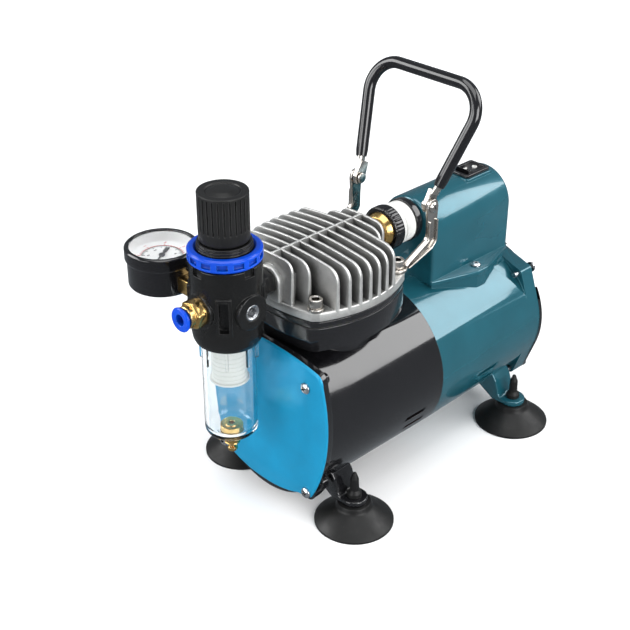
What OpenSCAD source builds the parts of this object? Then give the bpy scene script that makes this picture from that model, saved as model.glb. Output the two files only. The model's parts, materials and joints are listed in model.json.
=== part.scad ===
// Oil-free piston compressor for airbrushes, with filter regulator, gauge and folding handle.
// +X is the right side, -Y the front with the regulator, +Z up. The suction feet rest on z = 0.

/* [Motor and casing] */
// Height of the motor axis
axis_z = 59.4; // [58:0.1:61]
// Radius of the casing where the two halves meet
case_r = 47.4; // [46:0.1:49]
// Radius of the casing at the rear
rear_r = 45.4; // [44.5:0.1:47]
// Front face of the front cover
front_y = -71.5; // [-73:0.1:-70]
// Joint between crankcase and motor shell
joint_y = 26; // [24:0.5:28]
// Back face of the rear cover
rear_y = 121.7; // [121:0.1:124]

/* [Cylinder and head] */
// Centre of the cylinder, front to back
head_y = -26; // [-28:0.5:-24]
// Bore radius
bore_r = 19; // [17:0.5:20]
// Piston stroke
stroke = 13; // [8:1:14]
// Underside of the cylinder flange
flange_z = 109; // [108:0.5:111]
// Underside of the head
head_z = 127.5; // [126:0.5:129]
// Top of the centre rib
head_top_z = 158; // [156:0.5:160]
// Distance between two fins
fin_pitch = 6.73; // [6.4:0.01:7]

/* [Handle] */
// Half the distance between the handle pivots
pivot_x = 26.6; // [25:0.1:28]
// Pivot, front to back
pivot_y = 29.8; // [28:0.1:31]
// Pivot height
pivot_z = 163.4; // [161:0.1:165]
// Lean of the handle at rest
handle_lean = 23; // [15:1:30]
// Height of the top bar over the pivots, along the handle
handle_h = 68; // [60:1:70]

/* [Feet] */
// Half the distance between the left and right feet
foot_x = 47.4; // [46:0.1:48]
// Front feet
foot_front_y = -46.7; // [-50:0.1:-44]
// Rear feet
foot_rear_y = 95.5; // [92:0.1:97]
// Radius of a suction cup
cup_r = 22.6; // [20:0.1:22.6]

/* [Filter regulator] */
// Regulator axis, front to back
reg_y = -94.1; // [-95:0.1:-94]
// Height of its ports
port_z = 142.5; // [142:0.1:144]
// Radius of its body
reg_r = 18.8; // [18:0.1:19]
// Top of the pressure knob
knob_top_z = 203.8; // [200:0.1:206]
// Centre of the gauge, left of the regulator
gauge_x = -52.6; // [-53:0.1:-52]
// Radius of the gauge bezel
gauge_r = 20; // [19:0.1:20]

/* [Hidden] */
$fn = 64;

// Casing
cover_t = 1.5;
case_front_y = front_y + cover_t;
crank_bore_r = 44;
shell_bore_r = 42;
rear_cover_t = 2.3;
rear_boss_y = 125.2;
shell_end_y = rear_y - rear_cover_t;
front_screw = 34.4;
rear_screw_x = 33;
rear_screw_z = 34;
ear_r = 3;
ear_y = 109.5;
lug_z = 13.6;
lug_t = 3.4;
lug_hole_r = 3;
vent_w = 3.4;
vent_len = 18;

// Motor
web_y = -8;
shaft_r = 5;
shaft_bore_r = 5.05;
bearing_r = 13;
bearing_w = 8;
front_bearing_y = -4.5;
rear_bearing_y = 108.5;
shaft_end_y = 117;
stator_y = 36;
stator_len = 46;
stator_bore_r = 24;
rotor_r = 23.5;
fan_y = 98.5;
fan_w = 7;
fan_r = 36;

// Crank and piston, drawn at bottom dead centre
crank_r = stroke / 2;
disc_y = -19.5;
disc_w = 8;
rod_w = 7;
pin_z = axis_z - crank_r;
pin_r = 4;
big_end_r = 13;
big_bearing_r = 9.5;
piston_h = 8;
piston_gap = 1;
gasket_t = 0.8;
plate_t = 3.2;
valve_z = head_z - gasket_t - plate_t;
cyl_top_z = valve_z - gasket_t;
piston_top_z = cyl_top_z - piston_gap - stroke;
boss_r = 29;
boss_z = 92;

// Head
head_flange_t = 5;
head_screw_x = 27.2;
head_screw_dy = 31.2;
screw_r = 2.4;
fin_t = 1.9;
fin_y0 = head_y - 36.4;
fin_count = 11;
front_port_y = fin_y0 - 4;
port_boss_r = 8.8;
front_fins = [15.7, 21.5];
rear_fins = [21, 16.5];
fin_arch = 2.4;
shoulder_r = 8;
flange_x = 31.5;
flange_y = 35.5;
flange_cut = 3;
flange_side = 8.3;
pocket_r = 5.7;
core_half = 24;

// Switch box
box_half = 20;
box_y0 = 43.6;
box_y1 = 113.5;
box_z = 104.5;
box_wall = 1.5;
box_mid_z = 135;
box_top_z = box_mid_z + box_half;
ledge_x = 30.5;
ledge_y = 78.4;
box_screw_x = 24.5;
tab_t = 3;
switch_y = 97;
bezel_x = 15;
bezel_y = 21;
bezel_t = 2;
rocker_pivot_z = 153;
rocker_tilt = 9;

// Pressure switch
ps_z = 142.4;
ps_r = 12;
ps_y = [12.2, 20.5, 27.2, 37.5];

// Handle
wire_r = 2.5;
grip_r = 3.5;
corner_r = 16;
leg_angle = 13;
bracket_t = 1.8;
bracket_x = pivot_x + 1.7;
eye_t = 2.6;
rivet_r = 2;
foot_plate_z = head_z + head_flange_t;

// Regulator
ring_z = 166.3;
ring_h = 9;
ring_r = 19.25;
neck_r = 14.6;
bonnet_top_z = 177;
body_z = 119.9;
knob_r = 13;
spindle_r = 3.5;
bowl_r = 14.4;
bowl_z = 61;
drain_z = 48;
plug_x = reg_r + 1.4;
fitting_y = reg_y - reg_r;
collet_y = -125.3;
sleeve_r = 6;
collet_r = 4.6;
tube_r = 3.05;

// Gauge
gauge_top_z = 154.9;
gauge_bottom_z = 132;
bezel_z = 147;
gauge_base_r = 18.9;
dial_r = 17.8;
dial_z = 148;
lens_z = 153.7;
lens_t = 0.8;
stem_z = 139;

// Builders
module rod_y(x, z, r, y0, y1) {
    translate([x, y0, z]) rotate([-90, 0, 0]) cylinder(r = r, h = y1 - y0);
}

module rod_x(y, z, r, x0, x1) {
    translate([x0, y, z]) rotate([0, 90, 0]) cylinder(r = r, h = x1 - x0);
}

module cone_y(x, z, r0, r1, y0, y1) {
    translate([x, y0, z]) rotate([-90, 0, 0]) cylinder(r1 = r0, r2 = r1, h = y1 - y0);
}

// Extrudes an outline drawn in X and Z along Y
module slab_y(y0, y1) {
    translate([0, y1, 0]) rotate([90, 0, 0]) linear_extrude(y1 - y0) children();
}

// Extrudes an outline drawn in Y and Z along X
module slab_x(x0, x1) {
    translate([x0, 0, 0]) rotate([90, 0, 90]) linear_extrude(x1 - x0) children();
}

module ring_node(r_out, r_in, h) {
    difference() {
        cylinder(r = r_out, h = h);
        translate([0, 0, -1]) cylinder(r = r_in, h = h + 2);
    }
}

module tube_y(x, z, r_out, r_in, y0, y1) {
    difference() {
        rod_y(x, z, r_out, y0, y1);
        rod_y(x, z, r_in, y0 - 1, y1 + 1);
    }
}

module both_sides() {
    children();
    mirror([1, 0, 0]) children();
}

// Points of an arc, and of a straight side that bulges by s
function arc(c, r, a0, a1, n = 6) =
    [for (i = [0:n]) c + r * [cos(a0 + (a1 - a0) * i / n), sin(a0 + (a1 - a0) * i / n)]];
function bulge(p, q, s, n = 8) =
    let (d = q - p, nrm = [d[1], -d[0]] / norm(d))
    [for (i = [1:n - 1]) p + d * i / n + nrm * s * 4 * (i / n) * (1 - i / n)];
function flip(pts) = [for (i = [len(pts) - 1:-1:0]) [-pts[i][0], pts[i][1]]];

// Front cover outline about the motor axis: wider at the top, every side bulged
function cover_half() = concat(
    bulge([0, -44], [31.5, -36.8], 2, 5),
    arc([34.2, -33.6], 4.2, -95, -20, 5),
    bulge([38.2, -35.2], [46.1, 39.4], 7.3, 12),
    arc([40, 40], 6.2, -5, 78, 5),
    bulge([41.3, 46.1], [0, 50], 1.2, 5));
module cover_outline() {
    translate([0, axis_z]) polygon(concat(cover_half(), [[0, 50]], flip(cover_half()), [[0, -44]]));
}

// Flange outline of the cylinder and its head: bulged square with cut corners
module flange_outline(cx, cy, side, end, cut) {
    polygon(concat(
        [[cx, -cy + cut]], bulge([cx, -cy + cut], [cx, cy - cut], side, 10), [[cx, cy - cut]],
        [[cx - cut, cy]], bulge([cx - cut, cy], [cut - cx, cy], end, 8), [[cut - cx, cy]],
        [[-cx, cy - cut]], bulge([-cx, cy - cut], [-cx, cut - cy], side, 10), [[-cx, cut - cy]],
        [[cut - cx, -cy]], bulge([cut - cx, -cy], [cx - cut, -cy], end, 8), [[cx - cut, -cy]]));
}

module at_head_screws() {
    for (sx = [-1, 1], sy = [-1, 1])
        translate([sx * head_screw_x, head_y + sy * head_screw_dy, 0]) children();
}

// Foot lug on the casing: sloping arm with a round pad
module lug(y) {
    slab_y(y - 7.5, y + 7.5)
        polygon([[20, 20], [38, lug_z], [foot_x, lug_z], [foot_x, lug_z + lug_t], [41.5, lug_z + lug_t],
            [38.5, 27], [34, 32]]);
    translate([foot_x, y, lug_z]) cylinder(r = 7.5, h = lug_t);
}

// Three slots in the lower side of the casing
module vents(y, r) {
    for (i = [0:2])
        translate([0, y + 2 * i, axis_z]) rotate([0, 17 + 10.5 * i, 0])
            translate([r - 8, -vent_len / 2, -vent_w / 2]) cube([16, vent_len, vent_w]);
}

// Corner of the rear end: tangent flats from the round casing to a rounded point at a screw
module ear_outline(r) {
    a = atan2(rear_screw_z, rear_screw_x);
    s = acos((r - ear_r) / norm([rear_screw_x, rear_screw_z]));
    polygon(concat([[0, 0], r * [cos(a - s), sin(a - s)]],
        arc([rear_screw_x, rear_screw_z], ear_r, a - s, a + s), [r * [cos(a + s), sin(a + s)]]));
}
module ears(r, y0, y1) {
    both_sides() for (m = [0, 1])
        translate([0, 0, axis_z]) mirror([0, 0, m]) slab_y(y0, y1) ear_outline(r);
}

module crankcase() {
    color("#1b1b1e") difference() {
        union() {
            rod_y(0, axis_z, case_r, case_front_y, joint_y);
            slab_y(case_front_y, case_front_y + 4) cover_outline();
            both_sides() {
                lug(foot_front_y);
                for (s = [-1, 1])
                    cone_y(front_screw, axis_z + s * front_screw, 5, 3, case_front_y, case_front_y + 14);
            }
        }
        rod_y(0, axis_z, crank_bore_r, case_front_y - 1, web_y);
        rod_y(0, axis_z, crank_bore_r, front_bearing_y + bearing_w, joint_y + 1);
        rod_y(0, axis_z, bearing_r, front_bearing_y, front_bearing_y + bearing_w + 1);
        rod_y(0, axis_z, 8, web_y - 1, front_bearing_y + 1);
        for (a = [45:90:315])
            translate([0, 0, axis_z]) rotate([0, a, 0]) rod_y(29, 0, 8, web_y - 1, joint_y);
        translate([0, head_y, axis_z + 10]) cylinder(r = boss_r, h = 60);
        both_sides() {
            vents(5, case_r);
            translate([foot_x, foot_front_y, 0]) cylinder(r = lug_hole_r, h = 30);
            for (s = [-1, 1])
                rod_y(front_screw, axis_z + s * front_screw, 1.7, case_front_y - 1, case_front_y + 8);
        }
    }
}

module front_cover() {
    color("#1473c4") difference() {
        slab_y(front_y, case_front_y) cover_outline();
        both_sides() for (s = [-1, 1])
            rod_y(front_screw, axis_z + s * front_screw, 1.75, front_y - 1, case_front_y + 1);
    }
}

module cover_screws() {
    color("#c9ccd0") both_sides() for (s = [-1, 1]) {
        rod_y(front_screw, axis_z + s * front_screw, 3.2, front_y - 1.9, front_y);
        rod_y(front_screw, axis_z + s * front_screw, 1.7, front_y, case_front_y + 7);
        rod_y(rear_screw_x, axis_z + s * rear_screw_z, 3.2, rear_y, rear_y + 2.3);
        rod_y(rear_screw_x, axis_z + s * rear_screw_z, 1.7, shell_end_y - 14, rear_y);
    }
}

module box_plan() {
    polygon([[-box_half, box_y0], [box_half, box_y0], [ledge_x, ledge_y - 4], [ledge_x, ledge_y + 4],
        [box_half, box_y1], [-box_half, box_y1], [-ledge_x, ledge_y + 4], [-ledge_x, ledge_y - 4]]);
}

module motor_shell() {
    color("#1d5563") difference() {
        union() {
            cone_y(0, axis_z, case_r, rear_r, joint_y, shell_end_y);
            translate([0, 0, axis_z + 20]) linear_extrude(box_z - axis_z - 20) box_plan();
            ears(rear_r, ear_y, shell_end_y);
            both_sides() lug(foot_rear_y);
        }
        rod_y(0, axis_z, shell_bore_r, joint_y - 1, shell_end_y + 1);
        translate([0, 60, axis_z + 20]) cylinder(r = 7, h = 60);
        both_sides() {
            vents(70, rear_r);
            translate([foot_x, foot_rear_y, 0]) cylinder(r = lug_hole_r, h = 30);
            translate([box_screw_x, ledge_y, box_z - 8]) cylinder(r = 1.5, h = 9);
            for (s = [-1, 1])
                rod_y(rear_screw_x, axis_z + s * rear_screw_z, 1.7, shell_end_y - 14, shell_end_y + 1);
        }
    }
}

module rear_cover() {
    color("#141416") difference() {
        union() {
            rod_y(0, axis_z, rear_r + 0.3, shell_end_y, rear_y);
            ears(rear_r + 0.3, shell_end_y, rear_y);
            rod_y(0, axis_z, bearing_r + 4, rear_bearing_y - 1, shell_end_y);
            cone_y(0, axis_z, bearing_r + 2, bearing_r, rear_y, rear_boss_y);
        }
        rod_y(0, axis_z, bearing_r, rear_bearing_y - 2, rear_bearing_y + bearing_w);
        rod_y(0, axis_z, 8, rear_bearing_y, shell_end_y - 1);
        for (a = [0:30:330])
            translate([0, 0, axis_z]) rotate([0, a, 0])
                translate([20.5, shell_end_y - 1, -2]) cube([15.5, rear_cover_t + 2, 4]);
        both_sides() for (s = [-1, 1])
            rod_y(rear_screw_x, axis_z + s * rear_screw_z, 1.7, shell_end_y - 1, rear_y + 1);
    }
}

module stator_core() {
    color("#8d9096") difference() {
        rod_y(0, axis_z, shell_bore_r, stator_y, stator_y + stator_len);
        rod_y(0, axis_z, stator_bore_r, stator_y - 1, stator_y + stator_len + 1);
        for (a = [0:30:330])
            translate([0, 0, axis_z]) rotate([0, a, 0])
                rod_y(31, 0, 3.5, stator_y - 1, stator_y + stator_len + 1);
    }
}

module stator_windings() {
    color("#b5652a") for (y = [stator_y - 12, stator_y + stator_len])
        tube_y(0, axis_z, 37, 27, y, y + 12);
}

module motor_bearings() {
    color("#b9bcc2") for (y = [front_bearing_y, rear_bearing_y])
        tube_y(0, axis_z, bearing_r, shaft_bore_r, y, y + bearing_w);
}

module motor_shaft() {
    color("#b9bcc2") rod_y(0, axis_z, shaft_r, disc_y + 1, shaft_end_y);
}

module rotor_core() {
    color("#9a9da3") tube_y(0, axis_z, rotor_r, shaft_r, stator_y, stator_y + stator_len);
}

module cooling_fan() {
    color("#26282b") difference() {
        union() {
            rod_y(0, axis_z, 10, fan_y, fan_y + fan_w);
            for (a = [0:40:320])
                translate([0, fan_y + fan_w / 2, axis_z]) rotate([0, a, 0]) rotate([35, 0, 0])
                    translate([8, -0.8, -4]) cube([fan_r - 8, 1.6, 8]);
        }
        rod_y(0, axis_z, shaft_r, fan_y - 5, fan_y + fan_w + 5);
    }
}

module crank_disc() {
    color("#77797e") difference() {
        union() {
            rod_y(0, axis_z, 14, disc_y, disc_y + disc_w);
            intersection() {
                rod_y(0, axis_z, 26, disc_y, disc_y + disc_w);
                translate([-30, disc_y, axis_z + 4]) cube([60, disc_w, 30]);
            }
            rod_y(0, pin_z, pin_r - 0.1, disc_y - 2.6, disc_y);
        }
        rod_y(0, axis_z, shaft_r, disc_y + 1, disc_y + disc_w + 1);
    }
}

module connecting_rod() {
    y0 = disc_y - 3 - rod_w;
    color("#a8acb2") difference() {
        union() {
            rod_y(0, pin_z, big_end_r, y0, y0 + rod_w);
            translate([-4.5, y0, pin_z + 8]) cube([9, rod_w, piston_top_z - piston_h - pin_z - 8]);
        }
        rod_y(0, pin_z, big_bearing_r, y0 - 1, y0 + rod_w + 1);
    }
}

module big_end_bearing() {
    y0 = disc_y - 3 - rod_w;
    color("#c2c5ca") tube_y(0, pin_z, big_bearing_r, pin_r, y0, y0 + rod_w);
}

module piston() {
    color("#b4b7bc") translate([0, head_y, piston_top_z - piston_h]) difference() {
        cylinder(r = bore_r - 0.6, h = piston_h);
        translate([0, 0, 3]) ring_node(bore_r, bore_r - 3, 2.5);
    }
}

module piston_seal() {
    color("#3a2f28") translate([0, head_y, piston_top_z - piston_h + 3])
        ring_node(bore_r - 0.07, bore_r - 3, 2.5);
}

module cylinder_liner() {
    color("#1b1b1e") difference() {
        union() {
            translate([0, head_y, flange_z]) linear_extrude(cyl_top_z - flange_z)
                flange_outline(flange_x - 0.5, flange_y, flange_side, 3.5, 4);
            translate([0, head_y, boss_z]) cylinder(r = boss_r, h = flange_z - boss_z + 1);
        }
        translate([0, head_y, boss_z - 1]) cylinder(r = bore_r, h = 40);
        at_head_screws() translate([0, 0, flange_z + 4]) cylinder(r = screw_r, h = 30);
    }
}

module head_gaskets() {
    color("#2c2a28") for (z = [cyl_top_z, head_z - gasket_t])
        difference() {
            translate([0, head_y, z]) linear_extrude(gasket_t)
                flange_outline(flange_x - 0.5, flange_y, flange_side - 0.4, 3.3, 4);
            translate([0, head_y, z - 1]) cylinder(r = bore_r, h = 3);
            at_head_screws() translate([0, 0, z - 1]) cylinder(r = screw_r, h = 3);
        }
}

module valve_plate() {
    color("#232326") difference() {
        translate([0, head_y, valve_z]) linear_extrude(plate_t)
            flange_outline(flange_x - 0.5, flange_y, flange_side, 3.5, 3);
        for (s = [-1, 1]) translate([s * 9, head_y, valve_z - 1]) cylinder(r = 3, h = plate_t + 2);
        at_head_screws() translate([0, 0, valve_z - 1]) cylinder(r = screw_r, h = plate_t + 2);
    }
}

// The intake reed hangs under the plate, the outlet reed lies on top of it
module reed_valves() {
    color("#c9ccd0") {
        translate([-13.5, head_y - 5, valve_z - 0.4]) cube([9, 16, 0.4]);
        translate([4.5, head_y - 5, valve_z + plate_t]) cube([9, 16, 0.4]);
    }
}

// Half width of the flange at a distance dy from its middle; the long fins end flush with it
function flange_half(dy) = let (t = (dy + flange_y - flange_cut) / (2 * (flange_y - flange_cut)))
    flange_x + flange_side * 4 * t * (1 - t);
function fin_half(i) = i < 2 ? front_fins[i] : i > fin_count - 3 ? rear_fins[i - fin_count + 2]
    : flange_half(fin_y0 + i * fin_pitch - head_y);

// Fin outline in X and Z: slightly arched top and rounded shoulders
function fin_top(x) = head_top_z - 0.5 - fin_arch * pow(x / 32, 2);
function fin_pts(w) = let (r = min(shoulder_r, w * 0.4), x0 = w - r) concat(
    [[w, foot_plate_z - 1]], arc([x0, fin_top(x0) - r], r, 0, 84, 6),
    [for (i = [3:-1:0]) [x0 * i / 4, fin_top(x0 * i / 4)]]);
module fin(w) {
    polygon(concat(fin_pts(w), flip(fin_pts(w))));
}

module cylinder_head() {
    last_fin_y = fin_y0 + (fin_count - 1) * fin_pitch;
    color("#c4c6c8") difference() {
        union() {
            translate([0, head_y, head_z]) linear_extrude(head_flange_t)
                flange_outline(flange_x, flange_y, flange_side, 4, flange_cut);
            slab_y(head_y - 23, head_y + 20)
                polygon([[-core_half, foot_plate_z - 1], [-core_half, 142], [-18, 149], [-6, 151.5],
                    [6, 151.5], [18, 149], [core_half, 142], [core_half, foot_plate_z - 1]]);
            slab_y(fin_y0, last_fin_y)
                polygon([[-12, foot_plate_z - 1], [-12, 148], [12, 148], [12, foot_plate_z - 1]]);
            for (i = [0:fin_count - 1])
                slab_y(fin_y0 + i * fin_pitch - fin_t / 2, fin_y0 + i * fin_pitch + fin_t / 2)
                    fin(fin_half(i));
            slab_y(fin_y0, last_fin_y)
                polygon([[-0.7, 140], [0.7, 140], [0.7, head_top_z], [-0.7, head_top_z]]);
            // Arched boss of the outlet port, standing on the flange
            rod_y(0, port_z, port_boss_r, front_port_y, head_y);
            translate([-port_boss_r, front_port_y, foot_plate_z - 0.5])
                cube([2 * port_boss_r, fin_y0 - front_port_y, port_z - foot_plate_z + 0.5]);
            rod_y(0, ps_z, 8, head_y, ps_y[0]);
        }
        both_sides() translate([1.5, head_y - 14, head_z - 1]) cube([13, 28, 16]);
        rod_y(0, port_z, 4.5, front_port_y - 1, head_y - 12);
        rod_y(0, ps_z, 4.5, head_y + 12, ps_y[0] + 1);
        translate([-6, head_y - 16, port_z - 5]) cube([12, 6, 6]);
        translate([-6, head_y + 10, port_z - 5]) cube([12, 6, 6]);
        at_head_screws() {
            translate([0, 0, head_z - 1]) cylinder(r = screw_r, h = 9);
            translate([0, 0, foot_plate_z]) cylinder(r = pocket_r, h = 40);
        }
    }
}

module head_screws() {
    seat_z = foot_plate_z + bracket_t;
    color("#c9b9a6") {
        at_head_screws() {
            translate([0, 0, seat_z]) ring_node(3.6, 2, 5.2);
            translate([0, 0, seat_z]) cylinder(r = 3.6, h = 2.4);
            translate([0, 0, flange_z + 5]) cylinder(r = screw_r, h = seat_z - flange_z - 5);
        }
        // Washers under the front pair; the handle brackets take their place at the rear
        both_sides() translate([head_screw_x, head_y - head_screw_dy, foot_plate_z])
            ring_node(4.5, screw_r, bracket_t);
    }
}

module box_profile(inset) {
    translate([-box_half + inset, box_z - 1]) square([2 * (box_half - inset), box_mid_z - box_z + 1]);
    translate([0, box_mid_z]) circle(r = box_half - inset);
}

module switch_box() {
    color("#1d5563") difference() {
        union() {
            intersection() {
                slab_y(box_y0, box_y1) box_profile(0);
                translate([-30, box_y0, box_z]) cube([60, box_y1 - box_y0, 60]);
            }
            translate([-8.5, switch_y - 11.5, box_top_z - 4]) cube([17, 23, 4]);
            translate([0, 0, box_z]) linear_extrude(tab_t) box_plan();
        }
        slab_y(box_y0 + box_wall, box_y1 - box_wall) box_profile(box_wall);
        rod_y(0, axis_z, case_r - 0.3, box_y0 - 1, box_y1 + 1);
        translate([-6.4, switch_y - 9.4, box_mid_z]) cube([12.8, 18.8, 30]);
        rod_y(0, ps_z, 8, box_y0 - 1, box_y0 + 5);
        rod_y(0, 122, 5, box_y1 - 5, box_y1 + 1);
        both_sides() translate([box_screw_x, ledge_y, box_z - 1]) cylinder(r = 1.6, h = 5);
    }
}

module switch_box_screws() {
    color("#c9ccd0") both_sides() translate([box_screw_x, ledge_y, 0]) {
        translate([0, 0, box_z + tab_t]) cylinder(r = 2.9, h = 1.9);
        translate([0, 0, box_z - 7]) cylinder(r = 1.5, h = 7 + tab_t);
    }
}

module switch_bezel() {
    depth = 18;
    color("#17171a") difference() {
        union() {
            translate([-bezel_x / 2, switch_y - bezel_y / 2, box_top_z])
                cube([bezel_x, bezel_y, bezel_t]);
            translate([-6.3, switch_y - 9.3, box_top_z - depth]) cube([12.6, 18.6, depth]);
        }
        translate([-5.3, switch_y - 8.4, rocker_pivot_z - 5]) cube([10.6, 16.8, 20]);
    }
}

module rocker() {
    color("#1f1f22") translate([0, switch_y, rocker_pivot_z]) rotate([-rocker_tilt, 0, 0])
        slab_x(-5, 5)
            polygon([[-7.4, -1], [-3, -4], [3, -4], [7.4, -1], [7.4, 4.6], [0, 3.2], [-7.4, 4.6]]);
}

module capacitor() {
    color("#d7d8da") rod_y(0, axis_z + case_r + 11.6, 12, 50, 84);
}

module terminal_block() {
    color("#e6e3da") translate([-10, 88, axis_z + rear_r + 0.8]) difference() {
        cube([20, 14, 11]);
        for (x = [3.5, 10, 16.5], y = [3.5, 10.5]) translate([x, y, 6]) cylinder(r = 1.8, h = 6);
    }
}

module cable_gland() {
    color("#17171a") difference() {
        union() {
            rod_y(0, 122, 5, box_y1 - 6, box_y1);
            rod_y(0, 122, 7.5, box_y1, box_y1 + 2.5);
            cone_y(0, 122, 6, 4.6, box_y1 + 2.5, box_y1 + 9);
        }
        rod_y(0, 122, 3.2, box_y1 - 7, box_y1 + 10);
    }
}

module pressure_switch_adapter() {
    color("#b99047") difference() {
        union() {
            rod_y(0, ps_z, 4.5, ps_y[0] - 6, ps_y[0]);
            translate([0, ps_y[0], ps_z]) rotate([-90, 0, 0]) cylinder(r = 7.5, h = 4, $fn = 6);
            cone_y(0, ps_z, 6.5, 10.5, ps_y[0] + 4, ps_y[1]);
            rod_y(0, ps_z, 10.5, ps_y[1], ps_y[2]);
        }
        rod_y(0, ps_z, 1.5, ps_y[0] - 7, ps_y[2] + 1);
    }
}

module pressure_switch_body() {
    color("#e8e8e4") tube_y(0, ps_z, ps_r, ps_r - 3, ps_y[2], ps_y[3]);
}

module pressure_switch_caps() {
    color("#17171a") {
        tube_y(0, ps_z, ps_r + 1.2, 10.5, ps_y[1] - 0.5, ps_y[2]);
        rod_y(0, ps_z, ps_r + 0.8, ps_y[3], box_y0);
        rod_y(0, ps_z, 8, box_y0, box_y0 + 6);
    }
}

// Stamped bracket: foot under a rear head screw, sloping arm, upright leg with the pivot hole
module handle_bracket() {
    screw_y = head_y + head_screw_dy;
    difference() {
        union() {
            slab_x(bracket_x, bracket_x + bracket_t) {
                polygon([[screw_y - 4, foot_plate_z], [screw_y + 5.5, foot_plate_z], [pivot_y - 1, 138],
                    [pivot_y + 3.6, 143], [pivot_y + 3.6, pivot_z], [pivot_y - 3.6, pivot_z],
                    [pivot_y - 3.6, 145.5], [screw_y + 6, 138], [screw_y + 2, foot_plate_z + 4],
                    [screw_y - 4, foot_plate_z + bracket_t]]);
                translate([pivot_y, pivot_z]) circle(r = 4.4);
            }
            translate([head_screw_x, screw_y, foot_plate_z]) cylinder(r = 5.4, h = bracket_t);
            translate([head_screw_x, screw_y - 4, foot_plate_z])
                cube([bracket_x - head_screw_x + 0.5, 9, bracket_t]);
        }
        translate([head_screw_x, screw_y, foot_plate_z - 1]) cylinder(r = screw_r, h = bracket_t + 2);
        translate([head_screw_x, screw_y, foot_plate_z + bracket_t]) cylinder(r = 3.9, h = 9);
        rod_x(pivot_y, pivot_z, rivet_r, bracket_x - 1, bracket_x + bracket_t + 1);
    }
}

module handle_bracket_right() {
    color("#c9b9a6") handle_bracket();
}

module handle_bracket_left() {
    color("#c9b9a6") mirror([1, 0, 0]) handle_bracket();
}

module handle_rivets() {
    inner_x = pivot_x - eye_t / 2 - 0.4;
    color("#c9b9a6") both_sides() {
        rod_x(pivot_y, pivot_z, rivet_r, inner_x, bracket_x + bracket_t);
        rod_x(pivot_y, pivot_z, 3.2, bracket_x + bracket_t, bracket_x + bracket_t + 1.4);
        rod_x(pivot_y, pivot_z, 3, inner_x - 1.2, inner_x);
    }
}

// The handle lies in a plane through both pivots that leans back by handle_lean
module handle_plane() {
    translate([0, pivot_y, pivot_z]) rotate([-handle_lean, 0, 0]) children();
}

corner_x = pivot_x + (handle_h - corner_r) * tan(leg_angle) - corner_r / cos(leg_angle);
bar_sides = 12;

// Centre line of the bar, from one leg over the top to the other, in X and height
function half_path(from) = concat(
    [[pivot_x + from * sin(leg_angle), from * cos(leg_angle)]],
    arc([corner_x, handle_h - corner_r], corner_r, -leg_angle, 90, 8));
function bar_path(from) = concat(half_path(from), flip(half_path(from)));
function tangent(path, i) = let (d = path[min(i + 1, len(path) - 1)] - path[max(i - 1, 0)]) d / norm(d);
function bar_ring(path, i, r) = let (t = tangent(path, i))
    [for (k = [0:bar_sides - 1]) let (a = 360 * k / bar_sides)
        [path[i][0] + r * cos(a) * t[1], r * sin(a), path[i][1] - r * cos(a) * t[0]]];
module handle_bar(r, from) {
    path = bar_path(from);
    n = len(path) - 1;
    m = bar_sides;
    polyhedron(
        points = [for (i = [0:n]) each bar_ring(path, i, r)],
        faces = concat(
            [[for (k = [0:m - 1]) k], [for (k = [m - 1:-1:0]) n * m + k]],
            [for (i = [0:n - 1], k = [0:m - 1])
                [i * m + k, (i + 1) * m + k, (i + 1) * m + (k + 1) % m, i * m + (k + 1) % m]]));
}

module handle_bail() {
    color("#c9b9a6") handle_plane() difference() {
        union() {
            handle_bar(wire_r, 6);
            both_sides() {
                translate([pivot_x - eye_t / 2, 0, 0]) rotate([0, 90, 0]) cylinder(r = 4.2, h = eye_t);
                translate([pivot_x - eye_t / 2, -3.2, 0]) cube([eye_t, 6.4, 9]);
            }
        }
        both_sides() translate([pivot_x - 5, 0, 0])
            rotate([0, 90, 0]) cylinder(r = rivet_r + 0.06, h = 10);
    }
}

module handle_grip() {
    color("#141416") handle_plane() difference() {
        handle_bar(grip_r, 12);
        handle_bar(wire_r, 11);
    }
}

// Suction foot: hollow cup, neck under the lug, stem through it with a retaining collar
module suction_foot(x, y) {
    outer = concat([[cup_r, 0], [cup_r, 1]], arc([cup_r - 1, 1], 1, 0, 60, 3),
        [[18.5, 4], [14.5, 7.2], [11, 9.6], [9.8, 11], [9.8, lug_z], [lug_hole_r - 0.05, lug_z],
        [lug_hole_r - 0.05, lug_z + lug_t], [4.2, lug_z + lug_t], [4, lug_z + lug_t + 2.2],
        [2.6, lug_z + lug_t + 4.4], [2.4, 29], [0.6, 32.7], [0, 32.7]]);
    inner = [[0, 6.5], [8, 6], [14, 3.6], [20.8, 0]];
    color("#1c1c1e") translate([x, y, 0]) rotate_extrude() polygon(concat(outer, inner));
}

module foot_front_left() {
    suction_foot(-foot_x, foot_front_y);
}

module foot_front_right() {
    suction_foot(foot_x, foot_front_y);
}

module foot_rear_left() {
    suction_foot(-foot_x, foot_rear_y);
}

module foot_rear_right() {
    suction_foot(foot_x, foot_rear_y);
}

module at_regulator() {
    translate([0, reg_y, 0]) children();
}

module outlet_nipple() {
    nut_y0 = reg_y + reg_r + 1;
    color("#202022") difference() {
        union() {
            rod_y(0, port_z, 4.5, reg_y + 12, head_y - 27);
            translate([0, nut_y0, port_z]) rotate([-90, 0, 0])
                cylinder(r = 8, h = front_port_y - nut_y0, $fn = 6);
        }
        rod_y(0, port_z, 2.4, reg_y + 11, head_y - 26);
    }
}

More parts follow.
